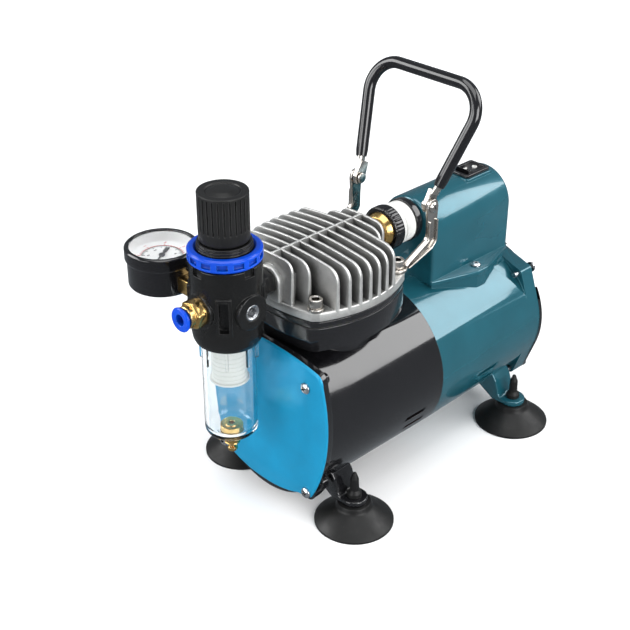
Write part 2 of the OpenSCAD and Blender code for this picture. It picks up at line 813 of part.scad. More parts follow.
module regulator_body() {
    color("#1b1b1e") difference() {
        union() {
            at_regulator() {
                translate([0, 0, body_z]) cylinder(r1 = reg_r - 1.8, r2 = reg_r, h = 4);
                translate([0, 0, body_z + 4]) cylinder(r = reg_r, h = ring_z - body_z - 4);
            }
            rod_x(reg_y, port_z, 9.5, -reg_r - 0.6, plug_x);
            rod_y(0, port_z, 9.5, fitting_y, reg_y + reg_r + 1);
        }
        at_regulator() {
            translate([0, 0, body_z - 1]) cylinder(r = bowl_r + 0.35, h = 8.1);
            translate([0, 0, 132]) cylinder(r = 6.5, h = 14);
            translate([0, 0, 150]) cylinder(r = 13.6, h = 20);
            translate([0, 0, 140]) cylinder(r = 2, h = 12);
            for (a = [0:90:270])
                rotate([0, 0, a]) translate([reg_r - 1.5, -3, ring_z - 4]) cube([3, 6, 4.5]);
            // Ribbed pockets between the ports
            for (a = [45:90:315])
                rotate([0, 0, a]) {
                    translate([reg_r - 1, -3.6, 132.5]) cube([3, 7.2, 19.5]);
                    for (u = [-3, -0.8, 1.4]) translate([reg_r - 2.4, u, 133.2]) cube([3, 1.6, 18.1]);
                }
        }
        rod_x(reg_y, port_z, 4.5, -reg_r - 2, reg_r - 2);
        rod_x(reg_y, port_z, 5, 8, plug_x + 1);
        rod_y(0, port_z, 4.5, fitting_y - 1, reg_y + reg_r + 2);
    }
}

module regulator_bonnet() {
    color("#1b1b1e") at_regulator() rotate_extrude()
        polygon([[11.5, 150.5], [13.5, 150.5], [13.5, ring_z], [neck_r, ring_z], [neck_r, 173.2],
            [14.9, 173.6], [14.9, 174.6], [13.4, bonnet_top_z], [spindle_r + 0.08, bonnet_top_z],
            [spindle_r + 0.08, 173.5], [11.5, 173.5]]);
}

module lock_ring() {
    color("#1565d8") at_regulator() difference() {
        translate([0, 0, ring_z]) rotate_extrude()
            polygon([[neck_r + 0.1, 0.3], [17.8, 0.3], [ring_r, 1.4], [ring_r, 7], [17.9, ring_h - 1.6],
                [neck_r + 1.3, ring_h - 1.6], [neck_r + 0.1, ring_h - 2.6]]);
        for (a = [0:24:336])
            rotate([0, 0, a]) translate([ring_r - 1.4, -1.9, ring_z + 2]) cube([3, 3.8, 4]);
    }
}

module pressure_knob() {
    z0 = bonnet_top_z + 0.4;
    color("#1b1b1e") at_regulator() difference() {
        rotate_extrude()
            polygon([[spindle_r + 0.08, z0], [knob_r - 0.3, z0], [knob_r, z0 + 1], [knob_r, z0 + 6],
                [knob_r - 0.7, knob_top_z - 3], [knob_r - 1.4, knob_top_z - 1.4],
                [9.2, knob_top_z - 1.2], [8.6, knob_top_z - 2], [5, knob_top_z - 0.4], [0, knob_top_z],
                [0, 200], [spindle_r + 0.08, 200]]);
        for (a = [0:18:342])
            rotate([0, 0, a]) translate([knob_r - 0.9, -0.6, z0 + 7]) cube([3, 1.2, 30]);
    }
}

module adjusting_spindle() {
    color("#b99047") at_regulator() {
        translate([0, 0, 164]) cylinder(r = 10.5, h = 4);
        translate([0, 0, 168]) cylinder(r = spindle_r, h = 27);
    }
}

// Coil spring under the spindle plate, swept round the regulator axis
spring_turns = 4;
spring_steps = 12;
spring_sides = 6;
function coil_ring(i) =
    let (a = 360 * i / spring_steps, z = 152.6 + i * 10 / (spring_turns * spring_steps))
    [for (k = [0:spring_sides - 1]) let (t = 360 * k / spring_sides)
        [(8 + cos(t)) * cos(a), (8 + cos(t)) * sin(a), z + sin(t)]];
module coil() {
    n = spring_turns * spring_steps;
    m = spring_sides;
    polyhedron(
        points = [for (i = [0:n]) each coil_ring(i)],
        faces = concat(
            [[for (k = [m - 1:-1:0]) k], [for (k = [0:m - 1]) n * m + k]],
            [for (i = [0:n - 1], k = [0:m - 1])
                [i * m + k, i * m + (k + 1) % m, (i + 1) * m + (k + 1) % m, (i + 1) * m + k]]));
}

module regulator_spring() {
    color("#b9bcc2") at_regulator() coil();
}

module port_plug() {
    color("#b9bcc2") difference() {
        rod_x(reg_y, port_z, 5, 10, plug_x - 0.6);
        translate([plug_x - 5, reg_y, port_z]) rotate([0, 90, 0]) cylinder(r = 3.3, h = 6, $fn = 6);
    }
}

module push_fitting() {
    color("#b99047") difference() {
        union() {
            rod_y(0, port_z, 4.5, fitting_y, fitting_y + 8);
            rod_y(0, port_z, 7.4, fitting_y - 1, fitting_y);
            translate([0, fitting_y - 1, port_z]) rotate([90, 0, 0]) cylinder(r = 8, h = 5, $fn = 6);
            rod_y(0, port_z, sleeve_r, collet_y + 3.4, fitting_y - 6);
        }
        rod_y(0, port_z, 2, fitting_y - 9, fitting_y + 9);
        rod_y(0, port_z, collet_r + 0.3, collet_y, fitting_y - 5);
    }
}

module push_collet() {
    color("#1a5fc4") difference() {
        union() {
            rod_y(0, port_z, collet_r, collet_y + 1, fitting_y - 6.5);
            rod_y(0, port_z, 6.75, collet_y, collet_y + 1.9);
        }
        rod_y(0, port_z, tube_r, collet_y - 1, fitting_y);
    }
}

module filter_element() {
    color("#f1f0ea") at_regulator() {
        translate([0, 0, 97]) ring_node(9.5, 6, 25);
        translate([0, 0, 95]) cylinder(r = 10.5, h = 2);
        translate([0, 0, 122]) cylinder(r = 6, h = 5);
        translate([0, 0, 121.9]) cylinder(r = 9.5, h = 2);
    }
}

module filter_bowl() {
    color("#dfe7ee", 0.4) at_regulator() {
        rotate_extrude()
            polygon(concat([[4.2, bowl_z], [8, bowl_z]], arc([bowl_r - 7, bowl_z + 7], 7, -60, 0, 5),
                [[bowl_r, 126.5], [bowl_r - 1.8, 126.5]],
                arc([bowl_r - 7, bowl_z + 7], 5.2, 0, -75, 5), [[4.2, bowl_z + 1.8]]));
        for (a = [0:45:315])
            rotate([0, 0, a]) translate([bowl_r - 0.5, -0.8, 108]) cube([1.6, 1.6, 11.4]);
    }
}

module drain_valve() {
    color("#c49a3c") at_regulator() rotate_extrude()
        polygon([[1.7, 66.5], [6.3, 66.5], [6.3, bowl_z + 1.9], [4.1, bowl_z + 1.9], [4.1, bowl_z],
            [6.8, bowl_z], [6.8, bowl_z - 2.5], [4.4, bowl_z - 5.5], [4.4, 53.5], [1.7, 53.5]]);
}

module drain_pin() {
    color("#c49a3c") at_regulator() {
        translate([0, 0, drain_z]) cylinder(r = 2.8, h = 3);
        translate([0, 0, drain_z + 3]) cylinder(r = 1.6, h = 12);
    }
}

module gauge_stem() {
    color("#b99047") difference() {
        translate([gauge_x + 17, reg_y - 4.5, stem_z - 4.5]) cube([-reg_r - gauge_x - 17 - 0.6, 9, 9]);
        rod_x(reg_y, stem_z, 1.5, gauge_x, 0);
    }
}

module gauge_case() {
    color("#18181a") translate([gauge_x, reg_y, 0]) difference() {
        rotate_extrude()
            polygon([[0, gauge_bottom_z], [gauge_base_r - 1.5, gauge_bottom_z],
                [gauge_base_r, gauge_bottom_z + 1.5], [gauge_base_r, bezel_z],
                [gauge_r, bezel_z + 0.6], [gauge_r, gauge_top_z - 1.2], [gauge_r - 1, gauge_top_z],
                [dial_r - 0.4, gauge_top_z], [dial_r - 0.4, lens_z + lens_t], [dial_r, lens_z + lens_t],
                [dial_r, gauge_bottom_z + 2.5], [0, gauge_bottom_z + 2.5]]);
        translate([16.9, -4.5, stem_z - 4.5]) cube([5, 9, 9]);
    }
}

// White cup: its floor carries the scale
module gauge_dial() {
    color("#f4f4f2") translate([gauge_x, reg_y, dial_z - 1]) difference() {
        cylinder(r = dial_r, h = lens_z - dial_z + 1);
        translate([0, 0, 1]) cylinder(r1 = dial_r - 0.9, r2 = dial_r - 0.4, h = lens_z - dial_z + 1);
        translate([0, 0, -1]) cylinder(r = 1.2, h = 3);
    }
}

module gauge_needle() {
    color("#55575c") translate([gauge_x, reg_y, dial_z]) {
        translate([0, 0, -6]) cylinder(r = 0.9, h = 6.9);
        translate([0, 0, 0.2]) cylinder(r = 2, h = 0.7);
        rotate([0, 0, -60]) translate([0, 0, 0.3])
            linear_extrude(0.4)
                polygon([[-7, -1.5], [0, -0.8], [13.5, -0.25], [13.5, 0.25], [0, 0.8], [-7, 1.5]]);
    }
}

module gauge_lens() {
    color("#dfe7ee", 0.4) translate([gauge_x, reg_y, lens_z]) cylinder(r = dial_r, h = lens_t);
}

crankcase();
front_cover();
cover_screws();
motor_shell();
rear_cover();
stator_core();
stator_windings();
motor_bearings();
motor_shaft();
rotor_core();
cooling_fan();
crank_disc();
connecting_rod();
big_end_bearing();
piston();
piston_seal();
cylinder_liner();  // cylinder
head_gaskets();
valve_plate();
reed_valves();
cylinder_head();
head_screws();
switch_box();
switch_box_screws();
switch_bezel();
rocker();
capacitor();
terminal_block();
cable_gland();
pressure_switch_adapter();
pressure_switch_body();
pressure_switch_caps();
handle_bracket_left();
handle_bracket_right();
handle_rivets();
handle_bail();
handle_grip();
foot_front_left();
foot_front_right();
foot_rear_left();
foot_rear_right();
outlet_nipple();
regulator_body();
regulator_bonnet();
lock_ring();
pressure_knob();
adjusting_spindle();
regulator_spring();
port_plug();
push_fitting();
push_collet();
filter_element();
filter_bowl();
drain_valve();
drain_pin();
gauge_stem();
gauge_case();
gauge_dial();
gauge_needle();
gauge_lens();
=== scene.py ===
"""Airbrush compressor: the looks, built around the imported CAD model.

Lengths are in millimetres, in the frame of the model, and become metres when a piece is placed.
"""

import json
import math

import bmesh
import bpy
from mathutils import Matrix, Vector


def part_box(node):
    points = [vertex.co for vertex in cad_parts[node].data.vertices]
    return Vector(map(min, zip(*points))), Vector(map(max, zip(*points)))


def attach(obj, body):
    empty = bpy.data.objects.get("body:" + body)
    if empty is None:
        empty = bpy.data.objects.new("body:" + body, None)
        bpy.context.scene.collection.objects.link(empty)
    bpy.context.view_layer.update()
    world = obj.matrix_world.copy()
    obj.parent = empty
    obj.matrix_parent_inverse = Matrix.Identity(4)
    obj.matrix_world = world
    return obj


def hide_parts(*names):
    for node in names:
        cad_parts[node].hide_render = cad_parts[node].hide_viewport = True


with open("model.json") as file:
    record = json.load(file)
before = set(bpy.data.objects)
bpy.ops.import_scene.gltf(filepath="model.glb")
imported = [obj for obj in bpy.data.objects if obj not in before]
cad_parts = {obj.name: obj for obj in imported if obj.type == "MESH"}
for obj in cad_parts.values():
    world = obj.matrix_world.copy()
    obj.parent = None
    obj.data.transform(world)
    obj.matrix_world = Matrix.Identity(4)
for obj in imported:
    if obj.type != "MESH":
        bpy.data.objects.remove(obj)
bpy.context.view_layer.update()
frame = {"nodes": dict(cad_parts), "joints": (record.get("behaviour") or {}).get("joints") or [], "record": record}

MM = 0.001
SLOT_OF = {s["node"]: s["material_slot"] for s in frame["record"]["subparts"]}
BODY_OF = {n: b for b, members in frame["record"]["behaviour"]["bodies"].items() for n in members}
JOINT = {j["name"]: j for j in frame["joints"]}
SIDES = (-1, 1)
CORNERS = [(a, b) for a in SIDES for b in SIDES]
FORWARD = (0, -1, 0)
BACK = (0, 1, 0)
RIGHT = (1, 0, 0)
LEFT = (-1, 0, 0)
UP = (0, 0, 1)


def box_mm(node):
    low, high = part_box(node)
    return low / MM, high / MM


def joint_mm(name):
    return Vector(JOINT[name]["pos_m"]) / MM


# ---------------------------------------------------------------- mesh tools


def rounded(points, steps=4):
    """Outline points (a, b) or (a, b, r): a point with r becomes an arc of that radius."""
    out = []
    for i, p in enumerate(points):
        if len(p) == 2:
            out.append(tuple(p))
            continue
        here = Vector(p[:2])
        before = Vector(points[i - 1][:2]) - here
        after = Vector(points[(i + 1) % len(points)][:2]) - here
        half = before.angle(after) / 2
        reach = min(p[2] / math.tan(half), before.length * 0.49, after.length * 0.49)
        radius = reach * math.tan(half)
        centre = here + (before.normalized() + after.normalized()).normalized() * (radius / math.sin(half))
        first = here + before.normalized() * reach - centre
        last = here + after.normalized() * reach - centre
        start = math.atan2(first.y, first.x)
        turn = (math.atan2(last.y, last.x) - start + math.pi) % (2 * math.pi) - math.pi
        for k in range(steps + 1):
            a = start + turn * k / steps
            out.append((centre.x + radius * math.cos(a), centre.y + radius * math.sin(a)))
    return out


def arc(cx, cy, radius, a0, a1, steps=8):
    return [
        (cx + radius * math.cos(a), cy + radius * math.sin(a))
        for a in (math.radians(a0 + (a1 - a0) * k / steps) for k in range(steps + 1))
    ]


def bulge(p, q, height, steps=16):
    """Points between p and q on a shallow arch of that height, to the right of the way from p to q."""
    p, q = Vector(p), Vector(q)
    way = q - p
    normal = Vector((way.y, -way.x)).normalized()
    return [
        tuple(p + way * t + normal * height * 4 * t * (1 - t))
        for t in (k / steps for k in range(1, steps))
    ]


def mirrored(points):
    return [(-x, y) for x, y in reversed(points)]


def lathe(points, segments=96, closed=False, warp=None, steps=4):
    """Turns a profile of (radius, height) or (radius, height, rounding) about Z.

    warp(angle, radius, height) may move a point.
    """
    bm = bmesh.new()
    rings = []
    for radius, height in rounded(points, steps):
        if radius < 1e-6:
            rings.append([bm.verts.new((0, 0, height))])
            continue
        ring = []
        for k in range(segments):
            a = 2 * math.pi * k / segments
            r, z = warp(a, radius, height) if warp else (radius, height)
            ring.append(bm.verts.new((r * math.cos(a), r * math.sin(a), z)))
        rings.append(ring)
    for low, high in zip(rings, rings[1:] + (rings[:1] if closed else [])):
        for k in range(segments):
            n = k + 1
            corners = [low[k % len(low)], low[n % len(low)], high[n % len(high)], high[k % len(high)]]
            face = [v for i, v in enumerate(corners) if v not in corners[:i]]
            if len(face) > 2:
                bm.faces.new(face)
    bmesh.ops.recalc_face_normals(bm, faces=bm.faces)
    return bm


def rim_steps(z0, z1, edge0, edge1, steps=3):
    """(inset, height) up a wall whose lower and upper rims are rounded by edge0 and edge1."""
    turns = [math.pi / 2 * k / steps for k in range(steps + 1)]
    low = [(0, z0)]
    high = [(0, z1)]
    if edge0:
        low = [(edge0 * (1 - math.sin(t)), z0 + edge0 * (1 - math.cos(t))) for t in turns]
    if edge1:
        high = [(edge1 * (1 - math.cos(t)), z1 - edge1 * (1 - math.sin(t))) for t in turns]
    return low + high


def rim(radius, z0, z1, edge):
    return [(radius - inward, z) for inward, z in rim_steps(z0, z1, edge, edge)]


def disc(radius, z0, z1, edge=0.3, segments=64):
    return lathe([(0, z0), *rim(radius, z0, z1, edge), (0, z1)], segments)


def tube(outer, inner, z0, z1, edge=0.3, segments=96):
    return lathe([*rim(outer, z0, z1, edge), (inner, z1), (inner, z0)], segments, closed=True)


def with_inward(outline):
    """Clean points of an outline, and at each one the way inwards for a step of 1."""
    pts = [Vector(p) for p in outline]
    pts = [p for i, p in enumerate(pts) if (p - pts[i - 1]).length > 1e-4]
    count = len(pts)
    area = sum(pts[i - 1].x * pts[i].y - pts[i].x * pts[i - 1].y for i in range(count))
    turn = 1 if area > 0 else -1
    inward = []
    for i in range(count):
        a = (pts[i] - pts[i - 1]).normalized()
        b = (pts[(i + 1) % count] - pts[i]).normalized()
        na, nb = Vector((-a.y, a.x)) * turn, Vector((-b.y, b.x)) * turn
        mid = (na + nb).normalized()
        inward.append(mid / max(0.5, mid.dot(na)))
    return pts, inward


def inset(outline, by):
    return [tuple(p + n * by) for p, n in zip(*with_inward(outline))]


def prism(outline, z0, z1, edge0=0.0, edge1=0.0):
    """Solid between z0 and z1, its two rims rounded by edge0 and edge1."""
    pts, inward = with_inward(outline)
    count = len(pts)
    bm = bmesh.new()
    rings = [[bm.verts.new((*(p + n * by), z)) for p, n in zip(pts, inward)]
             for by, z in rim_steps(z0, z1, edge0, edge1)]
    for low, high in zip(rings, rings[1:]):
        for k in range(count):
            n = (k + 1) % count
            bm.faces.new((low[k], low[n], high[n], high[k]))
    bm.faces.new(rings[0])
    bm.faces.new(rings[-1])
    bmesh.ops.recalc_face_normals(bm, faces=bm.faces)
    return bm


def block(x0, x1, y0, y1, z0, z1, edge=0.0, corner=0.0):
    """Box with rounded upright corners and rounded rims."""
    outline = rounded([(x0, y0, corner), (x1, y0, corner), (x1, y1, corner), (x0, y1, corner)]) if corner \
        else [(x0, y0), (x1, y0), (x1, y1), (x0, y1)]
    return prism(outline, z0, z1, edge, edge)


def moved(bm, at=(0, 0, 0), axis=UP, spin=0.0):
    """Turns the mesh about Z, stands Z along axis and moves it."""
    stand = Vector(UP).rotation_difference(Vector(axis)).to_matrix().to_4x4()
    bm.transform(Matrix.Translation(at) @ stand @ Matrix.Rotation(math.radians(spin), 4, "Z"))
    return bm


AXES_OF = {
    "XZ": ((1, 0, 0), (0, 0, 1), (0, 1, 0)),
    "YZ": ((0, 1, 0), (0, 0, 1), (1, 0, 0)),
}


def drawn_in(bm, plane):
    """A solid drawn flat in X and Y: its drawing goes to that plane, and its height to the third axis."""
    bm.transform(Matrix(AXES_OF[plane]).transposed().to_4x4())
    bmesh.ops.recalc_face_normals(bm, faces=bm.faces)
    return bm


def slab_y(outline, y0, y1, edge0=0.0, edge1=0.0):
    return drawn_in(prism(outline, y0, y1, edge0, edge1), "XZ")


def slab_x(outline, x0, x1, edge0=0.0, edge1=0.0):
    return drawn_in(prism(outline, x0, x1, edge0, edge1), "YZ")


def rod_y(x, z, radius, y0, y1, edge=0.0, segments=96):
    return moved(disc(radius, 0, y1 - y0, edge, segments), (x, y0, z), BACK)


def joined(*parts):
    """One mesh of several separate shells."""
    out = bmesh.new()
    for part in parts:
        mesh = bpy.data.meshes.new("shell")
        part.to_mesh(mesh)
        out.from_mesh(mesh)
        bpy.data.meshes.remove(mesh)
        part.free()
    return out


def flipped(bm):
    """A mirror copy on the other side of the middle plane."""
    out = bm.copy()
    out.transform(Matrix.Scale(-1, 4, RIGHT))
    bmesh.ops.reverse_faces(out, faces=out.faces)
    return out


def both(make):
    return joined(make(1), make(-1))


def as_object(bm):
    mesh = bpy.data.meshes.new("work")
    bm.to_mesh(mesh)
    bm.free()
    obj = bpy.data.objects.new("work", mesh)
    bpy.context.scene.collection.objects.link(obj)
    return obj


def applied(obj, tools=()):
    """The mesh of a work object with its modifiers applied. The work objects are removed."""
    dg = bpy.context.evaluated_depsgraph_get()
    mesh = bpy.data.meshes.new_from_object(obj.evaluated_get(dg))
    bm = bmesh.new()
    bm.from_mesh(mesh)
    bpy.data.meshes.remove(mesh)
    for o in (obj, *tools):
        old = o.data
        bpy.data.objects.remove(o)
        bpy.data.meshes.remove(old)
    return bm


def combined(base, others, operation):
    holder = as_object(base)
    tools = [as_object(o) for o in others]
    for t in tools:
        m = holder.modifiers.new("combine", "BOOLEAN")
        m.operation = operation
        m.solver = "EXACT"
        m.object = t
    return applied(holder, tools)


def merged(base, *others):
    return combined(base, others, "UNION")


def cut(base, *others):
    return combined(base, others, "DIFFERENCE")


def softened(bm, width, segments=2, angle=32):
    """Rounds the sharp edges that are left after solids were joined or cut."""
    bmesh.ops.dissolve_limit(bm, angle_limit=math.radians(0.4), verts=bm.verts, edges=bm.edges)
    obj = as_object(bm)
    m = obj.modifiers.new("round", "BEVEL")
    m.width = width
    m.segments = segments
    m.limit_method = "ANGLE"
    m.angle_limit = math.radians(angle)
    return applied(obj)


def sweep(path, normal, radii, sides=28):
    """Bar along a path in one plane. radii(i) gives half its width in the plane and along the normal."""
    normal = Vector(normal).normalized()
    pts = [Vector(p) for p in path]
    bm = bmesh.new()
    rings = []
    for i, p in enumerate(pts):
        way = (pts[min(i + 1, len(pts) - 1)] - pts[max(i - 1, 0)]).normalized()
        side = way.cross(normal)
        a, b = radii(i)
        rings.append([
            bm.verts.new(p + side * a * math.cos(t) + normal * b * math.sin(t))
            for t in (2 * math.pi * k / sides for k in range(sides))
        ])
    for low, high in zip(rings, rings[1:]):
        for k in range(sides):
            n = (k + 1) % sides
            bm.faces.new((low[k], low[n], high[n], high[k]))
    bm.faces.new(rings[0])
    bm.faces.new(rings[-1])
    bmesh.ops.recalc_face_normals(bm, faces=bm.faces)
    return bm


def piece(name, bm, stands_for=None, look=None, body=None, slot=None, sharp=32):
    """Finished piece from a mesh in millimetres. It wears the look of its slot unless another is given."""
    slot = slot or SLOT_OF[stands_for]
    mesh = bpy.data.meshes.new(name)
    bmesh.ops.scale(bm, vec=(MM, MM, MM), verts=bm.verts)
    bm.to_mesh(mesh)
    bm.free()
    mesh.shade_smooth()
    mesh.set_sharp_from_angle(angle=math.radians(sharp))
    mesh.materials.append(look or LOOK[slot])
    obj = bpy.data.objects.new(name, mesh)
    bpy.context.scene.collection.objects.link(obj)
    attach(obj, body or BODY_OF[stands_for])
    if stands_for:
        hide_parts(stands_for)
    return obj


# ---------------------------------------------------------------- materials


class Nodes:
    """Short names for the nodes that the materials share."""

    def __init__(self, name):
        self.material = bpy.data.materials.new(name)
        self.material.use_nodes = True
        self.tree = self.material.node_tree
        self.shader = self.tree.nodes["Principled BSDF"]
        self.coords = self.add("ShaderNodeTexCoord").outputs["Object"]

    def add(self, kind, **inputs):
        node = self.tree.nodes.new(kind)
        for key, value in inputs.items():
            self.feed(node.inputs[key.replace("_", " ")], value)
        return node

    def feed(self, socket, value):
        if isinstance(value, bpy.types.NodeSocket):
            self.tree.links.new(value, socket)
        else:
            socket.default_value = value

    def noise(self, scale, detail=4.0, rough=0.55, stretch=None):
        where = self.coords
        if stretch:
            mapping = self.add("ShaderNodeMapping", Vector=self.coords)
            mapping.inputs["Scale"].default_value = stretch
            where = mapping.outputs[0]
        node = self.add("ShaderNodeTexNoise", Vector=where, Scale=scale, Detail=detail, Roughness=rough)
        return node.outputs["Fac"]

    def ramp(self, value, low, high, out_low=0.0, out_high=1.0):
        node = self.add("ShaderNodeMapRange", Value=value)
        for key, v in (("From Min", low), ("From Max", high), ("To Min", out_low), ("To Max", out_high)):
            node.inputs[key].default_value = v
        return node.outputs[0]

    def blend(self, factor, a, b):
        node = self.tree.nodes.new("ShaderNodeMix")
        node.data_type = "RGBA"
        self.feed(node.inputs[0], factor)
        for socket, value in ((node.inputs[6], a), (node.inputs[7], b)):
            self.feed(socket, (*value, 1.0) if isinstance(value, tuple) else value)
        return node.outputs[2]

    def set(self, **values):
        for key, value in values.items():
            self.feed(self.shader.inputs[key.replace("_", " ")], value)


def shade(color, factor):
    return tuple(min(1.0, c * factor) for c in color)


def surface(name, color, rough, metallic=0.0, coat=0.0, tint=0.1, spread=0.05, tone=45, grain=1800,
            depth=0.05, worn=None, round_edge=0.35, fine=None, stretch=None, specular=0.5, hollow=None):
    """Material with uneven tone, uneven gloss, a fine grain in its relief, and edges that wear; where hollow is
    given, painted shade darkens its colour in crevices and recesses.
    """
    n = Nodes(name)
    n.set(Metallic=metallic, Coat_Weight=coat, Coat_Roughness=0.04, Specular_IOR_Level=specular)
    bevel = n.add("ShaderNodeBevel", Radius=round_edge * MM)
    bevel.samples = 4
    patches = n.ramp(n.noise(tone, 5, stretch=stretch), 0.3, 0.7)
    base = n.blend(patches, shade(color, 1 - tint), shade(color, 1 + tint))
    gloss = n.ramp(n.noise(tone * 1.7, 6, 0.65, stretch), 0.3, 0.7,
                   max(0.02, rough - spread), rough + spread)
    if fine:
        speck = n.ramp(n.noise(fine[0], 2), fine[1], fine[1] + 0.12)
        base = n.blend(speck, base, shade(color, fine[2]))
    if worn:
        true = n.add("ShaderNodeNewGeometry").outputs["Normal"]
        dot = n.add("ShaderNodeVectorMath")
        dot.operation = "DOT_PRODUCT"
        n.feed(dot.inputs[0], bevel.outputs[0])
        n.feed(dot.inputs[1], true)
        edge = n.ramp(dot.outputs["Value"], 0.985, 0.93)
        base = n.blend(edge, base, worn)
    # Painted shade: ambient occlusion darkens the colour in crevices, sockets and recesses, down to hollow[0]
    # times the colour, within hollow[1] mm
    if hollow:
        ao_for_painted_shade = n.add("ShaderNodeAmbientOcclusion", Distance=hollow[1] * MM)
        ao_for_painted_shade.samples = 6
        base = n.blend(n.ramp(ao_for_painted_shade.outputs["AO"], 0.15, 0.8), shade(color, hollow[0]), base)
    n.set(Base_Color=base, Roughness=gloss)
    relief = n.noise(grain, 3, stretch=stretch)
    bump = n.add("ShaderNodeBump", Strength=depth, Distance=0.1 * MM, Height=relief)
    n.feed(bump.inputs["Normal"], bevel.outputs[0])
    n.set(Normal=bump.outputs[0])
    return n.material


def clear(name, tint, rough, ior, coat):
    """Transparent moulded plastic with faint flow marks and haze."""
    n = Nodes(name)
    n.set(Transmission_Weight=1.0, IOR=ior, Coat_Weight=coat)
    haze = n.ramp(n.noise(90, 5), 0.35, 0.75, rough, rough + 0.05)
    flow = n.noise(60, 3, stretch=(1.0, 1.0, 0.2))
    bump = n.add("ShaderNodeBump", Strength=0.06, Distance=0.2 * MM, Height=flow)
    base = n.blend(n.ramp(n.noise(25, 3), 0.3, 0.7), tint, shade(tint, 0.985))
    n.set(Base_Color=base, Roughness=haze, Normal=bump.outputs[0])
    return n.material


BLACK = (0.0065, 0.0065, 0.0075)
BLACK_EDGE = (0.05, 0.05, 0.055)
DARK_EDGE = (0.05, 0.05, 0.05)
# hollow=(factor, distance) paints shade into the colour: in screw sockets and recesses, between the cylinder
# head's fins and in the lock ring's pockets
LOOK = {
    "black_casting": surface("black_lacquer", BLACK, 0.13, coat=0.6, tone=30, grain=350, depth=0.05,
            worn=BLACK_EDGE),
    "blue_cover": surface("metallic_blue", (0.0, 0.27, 0.5), 0.36, metallic=0.3, coat=0.1, tint=0.08,
            grain=500, depth=0.06, fine=(5200, 0.6, 1.3), worn=(0.1, 0.5, 0.8)),
    "teal_casing": surface("teal_paint", (0.012, 0.1, 0.135), 0.22, metallic=0.35, coat=0.7, tint=0.08,
            grain=420, depth=0.05, fine=(5200, 0.62, 1.35), worn=(0.03, 0.16, 0.2)),
    "zinc_screws": surface("bright_zinc", (0.72, 0.73, 0.75), 0.24, metallic=1.0, tint=0.14, spread=0.1,
            tone=120, hollow=(0.02, 4)),
    "nickel_plate": surface("satin_nickel", (0.66, 0.62, 0.57), 0.22, metallic=1.0, tint=0.16,
            spread=0.09, tone=90, grain=2600, depth=0.12, worn=(0.85, 0.82, 0.78), hollow=(0.05, 4)),
    "bare_steel": surface("bare_steel", (0.45, 0.46, 0.48), 0.33, metallic=1.0, tint=0.18, spread=0.1,
            tone=80, grain=900, depth=0.2, stretch=(1.0, 6.0, 1.0)),
    "cast_disc": surface("machined_iron", (0.2, 0.2, 0.21), 0.45, metallic=0.9, tint=0.2, spread=0.1,
            depth=0.3),
    "copper_wire": surface("enamelled_copper", (0.55, 0.2, 0.07), 0.35, metallic=0.8, tint=0.25,
            grain=700, depth=0.6, stretch=(1.0, 1.0, 8.0)),
    "cast_aluminium": surface("blasted_aluminium", (0.6, 0.6, 0.585), 0.46, metallic=0.85, tint=0.1,
            spread=0.08, tone=160, grain=2400, depth=0.6, fine=(2600, 0.56, 1.35), worn=(0.92, 0.92, 0.9),
            round_edge=0.5, hollow=(0.13, 9)),
    "seal": surface("seal_rubber", (0.02, 0.019, 0.018), 0.6, tint=0.3, spread=0.1),
    "black_plastic": surface("black_moulding", (0.009, 0.009, 0.009), 0.4, tint=0.2, spread=0.08,
            grain=3200, depth=0.35, worn=DARK_EDGE, specular=0.3),
    "gloss_black": surface("gloss_black_plastic", (0.006, 0.006, 0.007), 0.12, coat=0.3, tint=0.2,
            grain=250, depth=0.04, worn=BLACK_EDGE),
    "black_regulator": surface("satin_black_paint", (0.006, 0.006, 0.006), 0.24, coat=0.1, tint=0.2,
            grain=1400, depth=0.12, worn=DARK_EDGE, specular=0.35),
    "white_plastic": surface("white_moulding", (0.78, 0.78, 0.755), 0.28, tint=0.03, grain=700,
            depth=0.06),
    "brass": surface("turned_brass", (0.72, 0.47, 0.17), 0.22, metallic=1.0, tint=0.14, spread=0.08,
            tone=110, grain=1500, depth=0.15, worn=(0.9, 0.7, 0.38)),
    "blue_plastic": surface("blue_moulding", (0.0, 0.05, 0.47), 0.2, coat=0.15, tint=0.12, grain=400,
            depth=0.05, worn=(0.02, 0.2, 0.85), specular=0.3, hollow=(0.3, 3)),
    "filter_medium": surface("sintered_filter", (0.8, 0.79, 0.75), 0.7, tint=0.06, grain=2600, depth=0.9),
    "black_rubber": surface("black_rubber", (0.007, 0.007, 0.007), 0.46, tint=0.25, spread=0.12, tone=60,
            grain=900, depth=0.25, fine=(700, 0.66, 2.2), specular=0.3),
    "needle_paint": surface("needle_grey", (0.16, 0.16, 0.165), 0.3, metallic=0.5, tint=0.15),
    "clear_plastic": clear("clear_bowl", (0.93, 0.965, 0.975), 0.015, 1.49, 0),
}
dial_white = surface("dial_enamel", (0.86, 0.86, 0.85), 0.35, tint=0.02, grain=1200, depth=0.03)
dial_black = surface("dial_black", (0.015, 0.015, 0.017), 0.45, tint=0.2)
dial_red = surface("dial_red", (0.6, 0.02, 0.015), 0.4, tint=0.1)
lens_clear = clear("clear_lens", (0.97, 0.975, 0.98), 0.01, 1.02, 0.5)


# ---------------------------------------------------------------- stage

CAMERA_AT = Vector((0.43504, -0.45509, 0.46128))
CAMERA_TURN = math.radians(45.747)
CAMERA_RISE = math.radians(30.218)
LIT_POINT = (0, 0, 0.1)


def make_camera():
    data = bpy.data.cameras.new("camera")
    data.lens = 72.46
    data.sensor_width = 36
    data.clip_start = 0.01
    cam = bpy.data.objects.new("camera", data)
    cam.location = CAMERA_AT
    back = Vector((math.sin(CAMERA_TURN) * math.cos(CAMERA_RISE),
                   -math.cos(CAMERA_TURN) * math.cos(CAMERA_RISE), math.sin(CAMERA_RISE)))
    cam.rotation_mode = "QUATERNION"
    cam.rotation_quaternion = (-back).to_track_quat("-Z", "Y")
    bpy.context.scene.collection.objects.link(cam)
    bpy.context.scene.camera = cam


